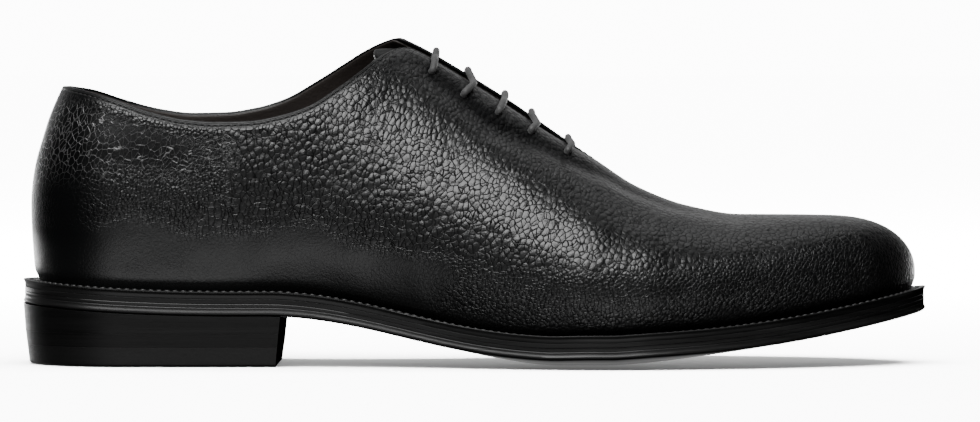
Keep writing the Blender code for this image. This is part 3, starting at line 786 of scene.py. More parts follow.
def build_tongue():
    """The tongue under the facings, pressed in a little under the hidden lace."""
    mesh = line_mesh()
    rows = []
    for i in range(TONGUE_FINE_STEPS + 1):
        share = (i / TONGUE_FINE_STEPS) ** TONGUE_CROWDING
        x = mix(TAB_TIP, TONGUE_TO, share)
        half = mix(TONGUE_TOP_HALF, TONGUE_END_HALF, share)
        tab = max(0.0, 1 - (x - TAB_TIP) / FINE_TAB_ROUND)
        half *= math.sqrt(1 - FINE_TAB_CORNER * tab ** 2)
        tab_drop = TAB_DROP * (max(0.0, TAB_FROM - x) / (TAB_FROM - TAB_TIP)) ** TAB_CURVE
        ridge = UPPER.at(x / ALONG, "ridge")
        row = []
        for k in range(TONGUE_FINE_COLUMNS + 1):
            across = mix(-half, half, k / TONGUE_FINE_COLUMNS)
            groove = LACE_GROOVE * bell(abs(across) - LACE_REACH, LACE_GROOVE_WIDTH)
            groove *= smooth((x + 20) / 6) * smooth((EYELETS[-1].x + 6 - x) / 4)
            point = roof_point(x, ridge + across, WALL + TONGUE_GAP + groove)
            row.append(mesh.verts.new((point - Vector((0.0, 0.0, tab_drop))) * MM))
        rows.append(row)
    add_quads(mesh, rows)
    bmesh.ops.recalc_face_normals(mesh, faces=mesh.faces)
    mesh.normal_update()
    if mesh.faces[0].normal.z < 0:
        bmesh.ops.reverse_faces(mesh, faces=mesh.faces)
    thicken(mesh, TONGUE_THICKNESS)
    return make_piece("tongue_leather", mesh)


# Fine sole pieces
SOLE_FINE_STEPS = 150
SOLE_FINE_COLUMNS = 15
HEEL_FINE_STEPS = 60

# Side of outsole and welt: height over the outsole's underside and inset
OUTSOLE_SIDE = (
    (0.0, 1.1), (0.25, 0.45), (0.7, 0.1), (1.1, 0.05), (1.6, 0.35), (2.4, 0.5),
    (2.7, 0.5), (2.85, 0.6), (3.0, 0.5), (3.7, 0.45), (4.0, 0.48), (4.12, 0.6),
)
WELT_SIDE = (
    (4.16, 0.6), (4.28, 0.48), (4.6, 0.5), (5.6, 0.52), (5.75, 0.66), (5.9, 0.52),
    (6.8, 0.5), (7.4, 0.3), (7.7, 0.05), (7.95, 0.0), (8.12, 0.12), (8.2, 0.4),
)

# Channel of the stitches in the welt's top: inset and depth
STITCH_CHANNEL = ((1.2, 0.0), (1.7, 0.05), (2.1, 0.25), (2.7, 0.25), (3.1, 0.05), (3.6, 0.0))


def fine_shares(steps, front=True):
    """Shares of the way along a sole piece, closer at its round ends."""
    if front:
        return [(1 - math.cos(math.pi * step / steps)) / 2 for step in range(steps + 1)]
    return [1 - math.cos(math.pi / 2 * step / steps) for step in range(steps + 1)]


def fine_slab(name, levels, columns, shares):
    """A flat piece with the sole's outline, whose side goes through the levels upwards."""
    mesh = bmesh.new()
    loops = []
    for share in shares:
        loop = level_row(levels[0], share, None, columns)
        for level in levels[1:-1]:
            loop += level_row(level, share, MEDIAL, columns)
        loop += reversed(level_row(levels[-1], share, None, columns))
        for level in reversed(levels[1:-1]):
            loop += level_row(level, share, LATERAL, columns)
        loops.append(add_row(mesh, loop))
    add_quads(mesh, loops, closed=True)
    if levels[0].end < BREAST_TOP + WELD:
        mesh.faces.new(loops[-1])
    bmesh.ops.remove_doubles(mesh, verts=mesh.verts, dist=WELD * MM)
    bmesh.ops.dissolve_degenerate(mesh, edges=mesh.edges, dist=WELD * MM)
    bmesh.ops.recalc_face_normals(mesh, faces=mesh.faces)
    return make_piece(name, mesh, 40)


def build_outsole():
    """The outsole, with lips and a groove along its side."""
    levels = [whole_level(inset, height) for height, inset in OUTSOLE_SIDE]
    return fine_slab("sole_leather", levels, SOLE_FINE_COLUMNS, fine_shares(SOLE_FINE_STEPS))


def build_welt():
    """The welt, with a groove round its side and a channel for its stitches."""
    levels = [whole_level(inset, height) for height, inset in WELT_SIDE]
    levels += [whole_level(inset, WELT_TOP - dip) for inset, dip in STITCH_CHANNEL]
    levels.append(whole_level(WELT_WIDTH, WELT_TOP))
    levels.append(whole_level(WELT_WIDTH, OUTSOLE_THICKNESS + GAP))
    mesh = bmesh.new()
    loops = []
    shares = fine_shares(SOLE_FINE_STEPS)
    for side, run in ((LATERAL, shares[:-1]), (MEDIAL, shares[:0:-1])):
        for share in run:
            points = [level_row(level, share, side, 0)[0] for level in levels]
            loops.append(add_row(mesh, points))
    add_quads(mesh, loops + loops[:1], closed=True)
    bmesh.ops.recalc_face_normals(mesh, faces=mesh.faces)
    return make_piece("welt_leather", mesh, 40)


def build_insole():
    """The insole with its sock, slightly cupped along its edge."""
    inside = WELT_WIDTH + GAP
    flange = WELT_WIDTH - INSOLE_LAP
    top = WELT_TOP + GAP + INSOLE_THICKNESS
    side = ((inside, OUTSOLE_THICKNESS + GAP), (inside, WELT_TOP + GAP), (flange, WELT_TOP + GAP),
            (flange, top - 0.5), (flange + 0.2, top - 0.15), (flange + 0.6, top))
    levels = [whole_level(inset, lift) for inset, lift in side]
    return fine_slab("sock_leather", levels, SOLE_FINE_COLUMNS, fine_shares(SOLE_FINE_STEPS))


def heel_level(z, height=None, inset=0.0):
    """A level of the heel at height z, tapered towards the floor and cut at the breast."""
    share = 1 - z / HEEL_HEIGHT
    inwards = inset + HEEL_TAPER * share
    breast = BREAST_TOP - BREAST_SLOPE * share
    return Level(inwards, HEEL_TIP + inwards, breast, height or (lambda x, y: z))


# Side of the heel's layers: how far inside its taper, at a distance from the layer's end
LAYER_ENDS = ((0.01, 0.05), (0.06, 0.0), (0.35, 0.0))
TREAD_ENDS = ((0.0, 0.8), (0.3, 0.25), (0.8, 0.0), (1.2, 0.0))
CORNER_CUT = 9.0          # cut off the inner front corner of the top piece, at the floor


def heel_layer(name, bottom, top, ends, over=None):
    """A layer of the heel, with slightly broken edges; over is the surface that it meets."""
    levels = [heel_level(bottom + rise, inset=inset) for rise, inset in ends]
    for rise, inset in reversed(LAYER_ENDS):
        levels.append(heel_level(top - rise, over and over(-rise), inset))
    return fine_slab(name, levels, 2, fine_shares(HEEL_FINE_STEPS, front=False))


def build_heel():
    """The heel's layers, pressed together: two lifts of leather over the top piece."""
    low = TOP_PIECE_HEIGHT + GAP / 2
    middle = LOWER_LIFT_TOP + GAP / 2
    upper = heel_layer("heel_leather_upper", middle, HEEL_HEIGHT, LAYER_ENDS, above_sole)
    lower = heel_layer("heel_leather_lower", low, middle, LAYER_ENDS)
    top_piece = heel_layer("heel_rubber_piece", 0.0, low, TREAD_ENDS)
    cut_corner(top_piece)
    return upper, lower, top_piece


def cut_corner(top_piece):
    """Cuts the inner front corner off the top piece on a plane that reaches its upper edge."""
    mesh = bmesh.new()
    mesh.from_mesh(top_piece.data)
    corner = Vector((BREAST_TOP, sole_edge(BREAST_TOP, MEDIAL, HEEL_TAPER), 0.0)) * MM
    middle = corner - Vector((CORNER_CUT, 0.0, 0.0)) * MM
    facing = Vector((1.0, 1.0, -CORNER_CUT / TOP_PIECE_HEIGHT)).normalized()
    result = bmesh.ops.bisect_plane(
        mesh, geom=mesh.verts[:] + mesh.edges[:] + mesh.faces[:],
        plane_co=middle, plane_no=facing, clear_outer=True)
    rim = [item for item in result["geom_cut"] if isinstance(item, bmesh.types.BMEdge)]
    bmesh.ops.edgeloop_fill(mesh, edges=rim)
    bmesh.ops.recalc_face_normals(mesh, faces=mesh.faces)
    mesh.to_mesh(top_piece.data)
    mesh.free()
    top_piece.data.set_sharp_from_angle(angle=math.radians(40))


# Rings of a stitch: place along it, size and lift, in shares of its length and radius
STITCH_RINGS = ((-0.5, 0.45, -0.6), (-0.4, 0.85, 0.0), (0.0, 1.0, 0.25), (0.4, 0.85, 0.0),
                (0.5, 0.45, -0.6))
STITCH_SIDES = 6


def surface_strokes(name, places, length, radius):
    """Short stitches on a surface, each a bar with round ends; places holds middle, along, out."""
    mesh = bmesh.new()
    for middle, along, out in places:
        across = along.cross(out).normalized()
        rings = []
        for offset, size, lift in STITCH_RINGS:
            centre = middle + along * offset * length + out * lift * radius
            ring = []
            for k in range(STITCH_SIDES):
                angle = 2 * math.pi * k / STITCH_SIDES
                spoke = across * math.cos(angle) + out * math.sin(angle)
                ring.append(mesh.verts.new((centre + spoke * size * radius) * MM))
            rings.append(ring)
        add_quads(mesh, rings, closed=True)
        mesh.faces.new(rings[0])
        mesh.faces.new(rings[-1])
    bmesh.ops.recalc_face_normals(mesh, faces=mesh.faces)
    return make_piece(name, mesh, 60)


def stitch_places(path, outs, pitch):
    """Even places along a path of points, with its direction and the outward direction."""
    places = []
    travelled = 0.0
    goal = pitch / 2
    for (a, b), out in zip(zip(path, path[1:]), outs):
        step = (b - a).length
        while step and goal < travelled + step:
            share = (goal - travelled) / step
            places.append((a.lerp(b, share), (b - a).normalized(), out))
            goal += pitch
        travelled += step
    return places


def edge_line(side, inwards):
    """Points on the leather at a distance inside its edge: up the collar, then down the facing."""
    path = []
    outs = []
    for x in fine_stations():
        if x > THROAT_END - 1.0:
            break
        column = fine_column(x, side, 0.0, x, LEATHER_THICKNESS / 2, OUTER_POINTS)
        slope = 1.0
        if x < THROAT_TOP:
            name = SIDE_NAMES[side]
            rise = (COLLAR.at((x + 1) / ALONG, name) - COLLAR.at((x - 1) / ALONG, name)) * UP / 2
            slope = math.sqrt(1 + rise * rise)
        goal = inwards * slope
        for (high, to_top, _), (low, further, _) in zip(column[::-1], column[-2::-1]):
            if further >= goal:
                share = (goal - to_top) / (further - to_top)
                path.append(high.lerp(low, share))
                out = Vector((0.0, side * abs(high.z - low.z), abs(high.y - low.y)))
                outs.append(out.normalized())
                break
    return path, outs


def build_stitches(skin):
    """The row of stitches along collar and facings, on both sides."""
    places = []
    for side in (LATERAL, MEDIAL):
        path, outs = edge_line(side, FACING_STITCH_IN)
        path = [skin.find_nearest(point * MM)[0] / MM for point in path]
        places += stitch_places(path, outs, STITCH_PITCH)
    return surface_strokes("edge_stitches", places, STITCH_LENGTH, STITCH_RADIUS)


def build_welt_stitches():
    """The stitches in the welt's channel, right round the shoe in front of the heel."""
    level = whole_level(WELT_STITCH_IN, WELT_TOP - 0.1)
    places = []
    for side in (LATERAL, MEDIAL):
        path = [Vector(level_row(level, share, side, 0)[0]) for share in fine_shares(400)]
        up = Vector((0.0, 0.0, 1.0))
        places += stitch_places(path, [up] * len(path), WELT_STITCH_PITCH)
    return surface_strokes("welt_stitches", places, WELT_STITCH_LENGTH, WELT_STITCH_RADIUS)


# Lace: how high its middle runs over the leather
CORD_LIFT = 1.35
CORD_TOP_LIFT = 1.0
CORD_SHARES = (0.07, 0.18, 0.34, 0.5, 0.66, 0.82, 0.93)


def skin_point(skin, x, y, lift):
    """A point over the creased leather, or over the throat between its edges."""
    plain = roof_point(x, y, 0.0)
    out = roof_normal(x, y)
    hit = skin.ray_cast((plain + out * 3 * WALL) * MM, -out, 6 * WALL * MM)[0]
    return (hit / MM if hit else plain) + out * lift


def bar_points(index, skin):
    """Points of a bar from the lateral eyelet to the medial one."""
    pair = EYELETS[index]
    near = eyelet_place(pair, LATERAL)
    far = eyelet_place(pair, MEDIAL)
    points = []
    for share in CORD_SHARES:
        across = math.sin(math.pi * share)
        turn = math.sin(2 * math.pi * share) * (1.0 if share < 0.5 else FAR_SNAKE)
        place = pair.x + pair.shift * across + pair.snake * turn
        y = mix(near.y, far.y, share)
        lift = mix(CORD_LIFT, CORD_TOP_LIFT, across ** 4)
        points.append(skin_point(skin, place, y, lift))
    return points


def through_points(index, side, skin):
    """Points straight through an eyelet, from outside to inside."""
    middle = eyelet_place(EYELETS[index], side)
    out = roof_normal(middle.x, middle.y)
    nearest = skin.find_nearest(middle * MM)[0] / MM
    middle += out * (nearest - middle).dot(out)
    return [middle - out * depth for depth in (-0.9, 0.3, 1.6, UNDER_DEPTH - 0.4)]


def under_points(first, last, side, track):
    """Points of a hidden run under a facing, between two eyelets."""
    start = eyelet_place(EYELETS[first], side)
    end = eyelet_place(EYELETS[last], side)
    points = []
    for share in (0.25, 0.5, 0.75):
        x = mix(start.x, end.x, share)
        y = mix(start.y, end.y, share) + side * track
        points.append(roof_point(x, y, 0.0) - roof_normal(x, y) * UNDER_DEPTH)
    return points


def build_cord(skin):
    """One lace: straight bars on top, joined by hidden runs under the facings."""
    bars = [bar_points(k, skin) for k in range(len(EYELETS))]
    near = [through_points(k, LATERAL, skin) for k in range(len(EYELETS))]
    far = [through_points(k, MEDIAL, skin) for k in range(len(EYELETS))]
    route = under_points(1, 0, LATERAL, 0.0)[::-1][:2]
    route += near[1][::-1] + bars[1] + far[1] + under_points(1, 3, MEDIAL, TRACK)
    route += far[3][::-1] + bars[3][::-1] + near[3] + under_points(3, 4, LATERAL, 0.0)
    route += near[4][::-1] + bars[4] + far[4] + under_points(4, 2, MEDIAL, -TRACK)
    route += far[2][::-1] + bars[2][::-1] + near[2] + under_points(2, 0, LATERAL, -TRACK)
    route += near[0][::-1] + bars[0] + far[0]
    curve = bpy.data.curves.new("lace", "CURVE")
    curve.dimensions = "3D"
    curve.bevel_depth = CORD_RADIUS * MM
    curve.bevel_resolution = 4
    curve.use_fill_caps = True
    spline = curve.splines.new("POLY")
    spline.points.add(CORD_STEPS - 1)
    for k, point in enumerate(spline.points):
        place = curve_point(route, k / (CORD_STEPS - 1)) * MM
        point.co = (place.x, place.y, place.z, 1.0)
    return add_object("lace", curve)


class Looks:
    """The node tree of a material or a world, with short calls for the nodes used here."""

    def __init__(self, name, kind="materials", shader="Principled BSDF"):
        self.owner = getattr(bpy.data, kind).new(name)
        self.owner.use_nodes = True
        self.tree = self.owner.node_tree
        self.shader = self.tree.nodes[shader]

    def set(self, socket, value):
        """Puts a number, a colour or another node's output on a socket."""
        if isinstance(value, bpy.types.NodeSocket):
            self.tree.links.new(value, socket)
        else:
            socket.default_value = value

    def add(self, kind, output, settings=None, **inputs):
        """Adds a node with its settings and inputs, and returns the named output."""
        node = self.tree.nodes.new(kind)
        for name, value in (settings or {}).items():
            setattr(node, name, value)
        for name, value in inputs.items():
            key = int(name[2:]) if name.startswith("in") and name[2:].isdigit() else name
            self.set(node.inputs[key], value)
        return node.outputs[output]

    def math(self, operation, a, b=0.0, c=0.0):
        """A calculation on numbers."""
        return self.add("ShaderNodeMath", 0, {"operation": operation}, in0=a, in1=b, in2=c)

    def place(self):
        """The point on the surface, in metres in the shoe's own frame."""
        return self.add("ShaderNodeTexCoord", "Object")

    def mapping(self, scale, turn=(0.0, 0.0, 0.0), vector=None):
        """The place, scaled and turned."""
        return self.add("ShaderNodeMapping", 0, Vector=vector or self.place(), Scale=scale,
                        Rotation=turn)

    def noise(self, scale, detail=2.0, roughness=0.5, vector=None):
        """Soft clouds from 0 to 1."""
        return self.add("ShaderNodeTexNoise", 0, Vector=vector or self.place(), Scale=scale,
                        Detail=detail, Roughness=roughness)

    def cells(self, scale, feature="F1", vector=None):
        """Distance inside a pattern of cells."""
        return self.add("ShaderNodeTexVoronoi", "Distance", {"feature": feature},
                        Vector=vector or self.place(), Scale=scale)

    def ramp(self, value, start, end, low=0.0, high=1.0, soft=True):
        """Turns a range of a value into another, with soft or straight ends."""
        kind = "SMOOTHSTEP" if soft else "LINEAR"
        return self.add("ShaderNodeMapRange", 0, {"interpolation_type": kind},
                        in0=value, in1=start, in2=end, in3=low, in4=high)

    def blend(self, share, a, b):
        """A value between two values."""
        return self.add("ShaderNodeMix", 0, {"data_type": "FLOAT"}, in0=share, in2=a, in3=b)

    def colour(self, share, a, b):
        """A colour between two colours."""
        return self.add("ShaderNodeMix", 2, {"data_type": "RGBA"}, in0=share, in6=a, in7=b)

    def attribute(self, name):
        """A value that the mesh carries at each vertex."""
        return self.add("ShaderNodeAttribute", "Fac", {"attribute_name": name})

    def bump(self, height, depth, normal=None):
        """Raises the surface by a height from 0 to 1, depth metres high."""
        under = {"Normal": normal} if normal else {}
        return self.add("ShaderNodeBump", 0, Height=height, Distance=depth, **under)

    def matt_front(self, gloss):
        """A gloss that is missing where the surface faces the toe, as on the heel's breast."""
        facing = self.add("ShaderNodeSeparateXYZ", 0,
                          Vector=self.add("ShaderNodeTexCoord", "Normal"))
        return self.ramp(facing, 0.5, 0.8, gloss, 0.0)

    def finish(self, **values):
        """Sets the shader's sockets and returns the material or the world."""
        for name, value in values.items():
            self.set(self.shader.inputs[name.replace("_", " ")], value)
        return self.owner


def grey(value, warm=0.0):
    """A neutral colour, a little warm or cool."""
    return (value * (1 + warm), value, value * (1 - warm), 1.0)


def pebbles(looks, grain):
    """Crease and height of a pebbled grain."""
    size = grain.size
    place = looks.place()
    for scale, reach in ((0.5 / size, 0.4 * size), (1.8 / size, 0.16 * size)):
        warp = looks.add("ShaderNodeTexNoise", "Color", Vector=looks.place(), Scale=scale,
                         Detail=1.0)
        place = looks.add("ShaderNodeVectorMath", 0, {"operation": "MULTIPLY_ADD"},
                          in0=warp, in1=(reach,) * 3, in2=place)
    place = looks.mapping((1.0, 1.0, 1.0), (0.0, -grain.lean, 0.0), place)
    place = looks.mapping(grain.stretch, vector=place)
    edge = looks.cells(1 / size, "DISTANCE_TO_EDGE", place)
    crease = looks.ramp(edge, 0.0, grain.sharp)
    dome = looks.ramp(looks.cells(1 / size, "F1", place), 0.1, 0.8, 1.0, 0.0)
    return crease, looks.math("MULTIPLY", looks.math("ADD", crease, dome), 0.5)


# Grains: size of a cell in metres, its stretch, the width of its creases and its lean
Grain = namedtuple("Grain", "size stretch sharp lean")
COARSE_GRAIN = Grain(0.0019, (1.05, 1.0, 0.75), 0.07, 0.35)
TALL_GRAIN = Grain(0.002, (1.3, 1.0, 0.55), 0.075, 0.35)
FINE_GRAIN = Grain(0.0012, (1.0, 1.0, 0.85), 0.1, 0.6)
NET_GRAIN = Grain(0.0021, (1.25, 1.0, 0.8), 0.06, 0.5)
GRAIN_HEIGHT = 0.00034
FOLD_PITCH = 0.95         # of the two rolls along the leather's stitched edge, in millimetres


def leather_look():
    """Black pebbled leather: coarse on vamp and quarter, fine at both ends, smooth low down."""
    looks = Looks("pebbled_black_leather")
    coarse, tall, fine = [pebbles(looks, grain) for grain in (COARSE_GRAIN, TALL_GRAIN, FINE_GRAIN)]
    patchy = looks.noise(140.0, 2.0)
    spread = looks.math("MULTIPLY_ADD", patchy, 0.6, -0.3)
    where_tall = looks.ramp(looks.math("ADD", looks.attribute("tall"), spread), 0.4, 0.6)
    where_fine = looks.ramp(looks.math("ADD", looks.attribute("fine"), spread), 0.4, 0.6)
    crease, grain = [looks.blend(where_fine, looks.blend(where_tall, a, b), c)
                     for a, b, c in zip(coarse, tall, fine)]
    bare = looks.attribute("bare")
    # Painted shade: the leather's gloss and coat are cut down where this mask is high
    dull = looks.attribute("dull")
    depth = looks.math("MULTIPLY", looks.ramp(bare, 0.0, 1.0, 1.0, 0.04, soft=False),
                       looks.ramp(patchy, 0.3, 0.7, 0.6, 1.0))
    crease = looks.blend(depth, 1.0, crease)
    # The net: raised creases, painted pale and glossier as highlights on their walls
    net_creases_and_highlight = pebbles(looks, NET_GRAIN)[0]
    net_creases_and_highlight = looks.math("MULTIPLY", looks.math("SUBTRACT", 1.0, net_creases_and_highlight), looks.attribute("net"))
    height = looks.math("ADD", looks.math("MULTIPLY", grain, depth),
                        looks.math("MULTIPLY", net_creases_and_highlight, 0.3))
    small = looks.math("ADD", looks.math("MULTIPLY", looks.noise(1100.0, 3.0, 0.6), 0.7),
                       looks.math("MULTIPLY", looks.cells(2600.0), 0.3))
    roll = looks.math("MINIMUM", looks.attribute("down"), 1.5 * FOLD_PITCH)
    fold = looks.math("SINE", looks.math("MULTIPLY", roll, math.pi / FOLD_PITCH))
    fold = looks.math("ABSOLUTE", fold)
    normal = looks.bump(fold, 0.0002)
    normal = looks.bump(height, GRAIN_HEIGHT, normal)
    normal = looks.bump(small, 0.0001, normal)
    cloud = looks.noise(60.0, 3.0)
    # Painted shade: the creases between the pebbles are painted darker than their tops, as the
    # shade inside them
    base = looks.colour(crease, grey(0.0012), grey(0.0035, -0.05))
    # Painted highlight: the net's creases are painted pale
    base = looks.colour(net_creases_and_highlight, base, grey(0.05))
    rough = looks.math("ADD", looks.ramp(crease, 0.0, 1.0, 0.45, 0.28, soft=False),
                       looks.math("MULTIPLY", cloud, 0.06))
    # Gloss with painted light: cut in the creases and by the painted shade mask as painted shade,
    # raised on the net's creases as a painted highlight
    gloss_and_painted_light = looks.math("MULTIPLY", looks.ramp(crease, 0.0, 1.0, 0.08, 0.5, soft=False),
                        looks.ramp(dull, 0.0, 1.0, 1.0, 0.06, soft=False))
    gloss_and_painted_light = looks.math("ADD", gloss_and_painted_light, looks.math("MULTIPLY", net_creases_and_highlight, 0.8))
    looks.set(looks.shader.inputs["Specular IOR Level"], gloss_and_painted_light)
    looks.set(looks.shader.inputs["Coat Weight"], looks.ramp(dull, 0.0, 1.0, 0.12, 0.0))
    looks.shader.inputs["Coat Roughness"].default_value = 0.2
    return looks.finish(Base_Color=base, Roughness=rough, Normal=normal, Coat_Normal=normal)


def lining_look():
    """Dark brown lining leather, matt, with fine grain."""
    looks = Looks("dark_lining_leather")
    grain = looks.math("ADD", looks.noise(700.0, 4.0, 0.6), looks.cells(1500.0))
    cloud = looks.noise(45.0, 2.0)
    normal = looks.bump(grain, 0.00008)
    base = looks.colour(cloud, (0.012, 0.009, 0.008, 1.0), (0.024, 0.018, 0.015, 1.0))
    rough = looks.ramp(cloud, 0.0, 1.0, 0.5, 0.65)
    return looks.finish(Base_Color=base, Roughness=rough, Normal=normal)


def edge_look(name, low, high, streak, gloss):
    """Dyed and burnished sole edge: dark satin with fine streaks along its layers."""
    looks = Looks(name)
    fine = looks.noise(1.0, 3.0, 0.6, looks.mapping((35.0, 35.0, 1900.0)))
    broad = looks.noise(1.0, 2.0, 0.5, looks.mapping((12.0, 12.0, 420.0)))
    mixed = looks.math("ADD", looks.math("MULTIPLY", fine, 0.6),
                       looks.math("MULTIPLY", broad, 0.4))
    normal = looks.bump(mixed, streak)
    base = looks.colour(looks.ramp(mixed, 0.3, 0.7), grey(low), grey(high))
    rough = looks.ramp(broad, 0.2, 0.8, 0.3, 0.45)
    looks.set(looks.shader.inputs["Specular IOR Level"], looks.matt_front(gloss))
    return looks.finish(Base_Color=base, Roughness=rough, Normal=normal)


def cord_look():
    """Waxed cotton cord, dark grey, with a fine plait."""
    looks = Looks("waxed_cord")
    plait = looks.cells(1.0, "F1", looks.mapping((1500.0, 1500.0, 1500.0)))
    fuzz = looks.noise(2500.0, 2.0)
    height = looks.math("ADD", looks.math("MULTIPLY", plait, 0.7),
                        looks.math("MULTIPLY", fuzz, 0.3))
    normal = looks.bump(height, 0.00016)
    base = looks.colour(height, grey(0.07), grey(0.035))
    looks.shader.inputs["Sheen Weight"].default_value = 0.15
    return looks.finish(Base_Color=base, Roughness=looks.ramp(height, 0.0, 1.0, 0.45, 0.7),
                        Normal=normal)


def thread_look(name, value):
    """Waxed thread."""
    looks = Looks(name)
    twist = looks.noise(3000.0, 1.0)
    base = looks.colour(twist, grey(value), grey(value * 1.6))
    return looks.finish(Base_Color=base, Roughness=looks.ramp(twist, 0.0, 1.0, 0.4, 0.6),
                        Normal=looks.bump(twist, 0.00005))


def rubber_look():
    """Matt black rubber of the heel's top piece."""
    looks = Looks("black_rubber")
    fine = looks.noise(1800.0, 3.0)
    streaks = looks.noise(1.0, 2.0, 0.5, looks.mapping((40.0, 40.0, 900.0)))
    base = looks.colour(streaks, grey(0.004), grey(0.008))
    looks.set(looks.shader.inputs["Specular IOR Level"], looks.matt_front(0.3))
    return looks.finish(Base_Color=base, Roughness=looks.ramp(fine, 0.3, 0.7, 0.4, 0.55),
                        Normal=looks.bump(fine, 0.00003))


# Where the leather changes, from and to: along the shoe, up from the welt (_UP) or down from
# its edge (_DOWN)
FINE_HEEL = (-60.0, -105.0)
FINE_TOE = (70.0, 120.0)
SMOOTH_BACK = (15.0, -25.0)
SMOOTH_UP = (28.0, 17.0)
TALL_BACK = (-45.0, -20.0)
TALL_FRONT = (55.0, 30.0)
TALL_DOWN = (50.0, 30.0)
FACING_DOWN = (16.0, 8.0)
# Heel counter: its grain is smoothed, and painted shade lies on it, weaker higher up its side
COUNTER = (-117.0, -137.0)
COUNTER_UP = (6.0, 18.0)
COUNTER_SHADE_FADE_UP = (42.0, 56.0)
NET = (-75.0, -99.0)
NET_UP = (30.0, 46.0)
NET_DOWN = (3.0, 6.0)
TIP_SMOOTH = (132.0, 147.0)
# Painted shade on the toe's tip
TIP_PAINTED_SHADE = (128.0, 140.0)
EDGE_SMOOTH_DOWN = (2.6, 1.6)
# Painted shade along the leather's edge
EDGE_PAINTED_SHADE_DOWN = (2.8, 1.8)
BAND_ABOVE = 4.0          # the trough's band of painted shade lies this far above its middle
BAND_WIDTH = 6.0


def mark_leather(piece):
    """Stores on the mesh where grain is fine, tall or bare, where shade is painted, and a net of
    painted highlights.
    """
    data = piece.data
    count = len(data.vertices)
    down = [0.0] * count
    up = [0.0] * count
    data.attributes["down"].data.foreach_get("value", down)
    data.attributes["up"].data.foreach_get("value", up)
    marks = {"fine": [], "tall": [], "bare": [], "dull": [], "net": []}
    for vert, from_top, from_foot in zip(data.vertices, down, up):
        x = vert.co.x / MM
        at = x / ALONG
        wave = 8 * noise.noise(vert.co / MM / 18)
        low = ease(from_foot + wave / 2, SMOOTH_UP)
        facing = 0.0
        if THROAT_TOP - 8 < x < THROAT_END + 20:
            facing = ease(from_top, FACING_DOWN)
        medial = vert.co.y / MM > UPPER.at(at, "ridge")
        lip = facing if medial and x < THROAT_END else 0.0
        # Heel counter: smoothed grain and painted shade, weaker higher up
        counter = (ease(x + wave / 2, COUNTER) * ease(from_foot, COUNTER_UP)
                   * mix(1.0, 0.75, ease(from_foot, COUNTER_SHADE_FADE_UP)))
        above = from_top - TROUGH.at(at, "place") + BAND_ABOVE
        band = TROUGH.at(at, "dark") * bell(above, BAND_WIDTH)
        net = ease(x + wave, NET) * ease(from_foot, NET_UP) * ease(from_top, NET_DOWN)
        marks["net"].append(net)
        marks["fine"].append(max(0.4 * ease(x + wave, FINE_TOE),
                                 0.8 * ease(x + wave, FINE_HEEL), low))
        marks["tall"].append(ease(x, TALL_BACK) * ease(x, TALL_FRONT) * ease(from_top, TALL_DOWN)
                             * (1 - facing))
        marks["bare"].append(max(0.97 * low * ease(x + wave, SMOOTH_BACK), 0.4 * low,
                                 ease(from_top, EDGE_SMOOTH_DOWN), 0.2 * ease(x, TIP_SMOOTH),
                                 0.8 * counter, net))
        # Painted shade: gloss and coat are cut on the heel counter, the band over the trough, the
        # net, the far facing's lip, the facing, the toe's tip, the feather crease and the leather's
        # edge
        marks["dull"].append(max(counter, band, 0.6 * net, 0.6 * lip,
                                 0.2 * facing * smooth((THROAT_END - x) / 9),
                                 0.85 * ease(x + wave, TIP_PAINTED_SHADE), 0.9 * bell(from_foot, 2.2),
                                 0.4 * ease(from_top, EDGE_PAINTED_SHADE_DOWN)))
    for name, values in marks.items():
        layer = data.attributes.new(name, "FLOAT", "POINT")
        layer.data.foreach_set("value", values)


def dress(piece, slot, material, *nodes):
    """Gives a piece its material and its place in the frame; the slot is not used."""
    piece.data.materials.clear()
    piece.data.materials.append(material)
    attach(piece, "root")
    if nodes:
        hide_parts(*nodes)


# Camera, in metres: the photograph's angle to the shoe
CAMERA_TARGET = (0.0052, 0.0, 0.0514)
CAMERA_DISTANCE = 2.0
CAMERA_AZIMUTH = math.radians(0.5)
CAMERA_ELEVATION = math.radians(1.5)
CAMERA_SENSOR = 36.0
CAMERA_LENS = 216.7


def add_aimed(data, place, target):
    """Puts a camera or a light at a place, turned towards its target."""
    thing = add_object(data.name, data)
    thing.location = place
    aim = Vector(target) - Vector(place)
    thing.rotation_euler = aim.to_track_quat("-Z", "Y").to_euler()
    return thing


def make_camera():
    """The camera, aimed from low on the shoe's outer side."""
    data = bpy.data.cameras.new("camera")
    data.sensor_width = CAMERA_SENSOR
    data.lens = CAMERA_LENS
    offset = Vector((
        math.sin(CAMERA_AZIMUTH) * math.cos(CAMERA_ELEVATION),
        -math.cos(CAMERA_AZIMUTH) * math.cos(CAMERA_ELEVATION),
        math.sin(CAMERA_ELEVATION)))
    place = Vector(CAMERA_TARGET) + offset * CAMERA_DISTANCE
    bpy.context.scene.camera = add_aimed(data, place, CAMERA_TARGET)


# Studio lights: place, target, width, height and power in watts
Light = namedtuple("Light", "name place target width height power")
LIGHTS = (
    Light("front_soft", (-0.3, -0.9, 1.15), (0.0, 0.0, 0.06), 1.2, 0.9, 34.0),
    Light("back_soft", (0.15, 0.4, 1.2), (0.0, 0.0, 0.05), 1.2, 0.5, 2.5),
)

# Surround: dim in front of the shoe and to its sides, bright behind it
FRONT_LEVEL = 0.02
BACK_LEVEL = 0.6
HORIZON_LEVEL = 12.0
HORIZON_HEIGHT = 0.08
HORIZON_DEPTH = -0.04
TABLE_LEVEL = 1.7         # the pale table top in front of the shoe, as the leather mirrors it

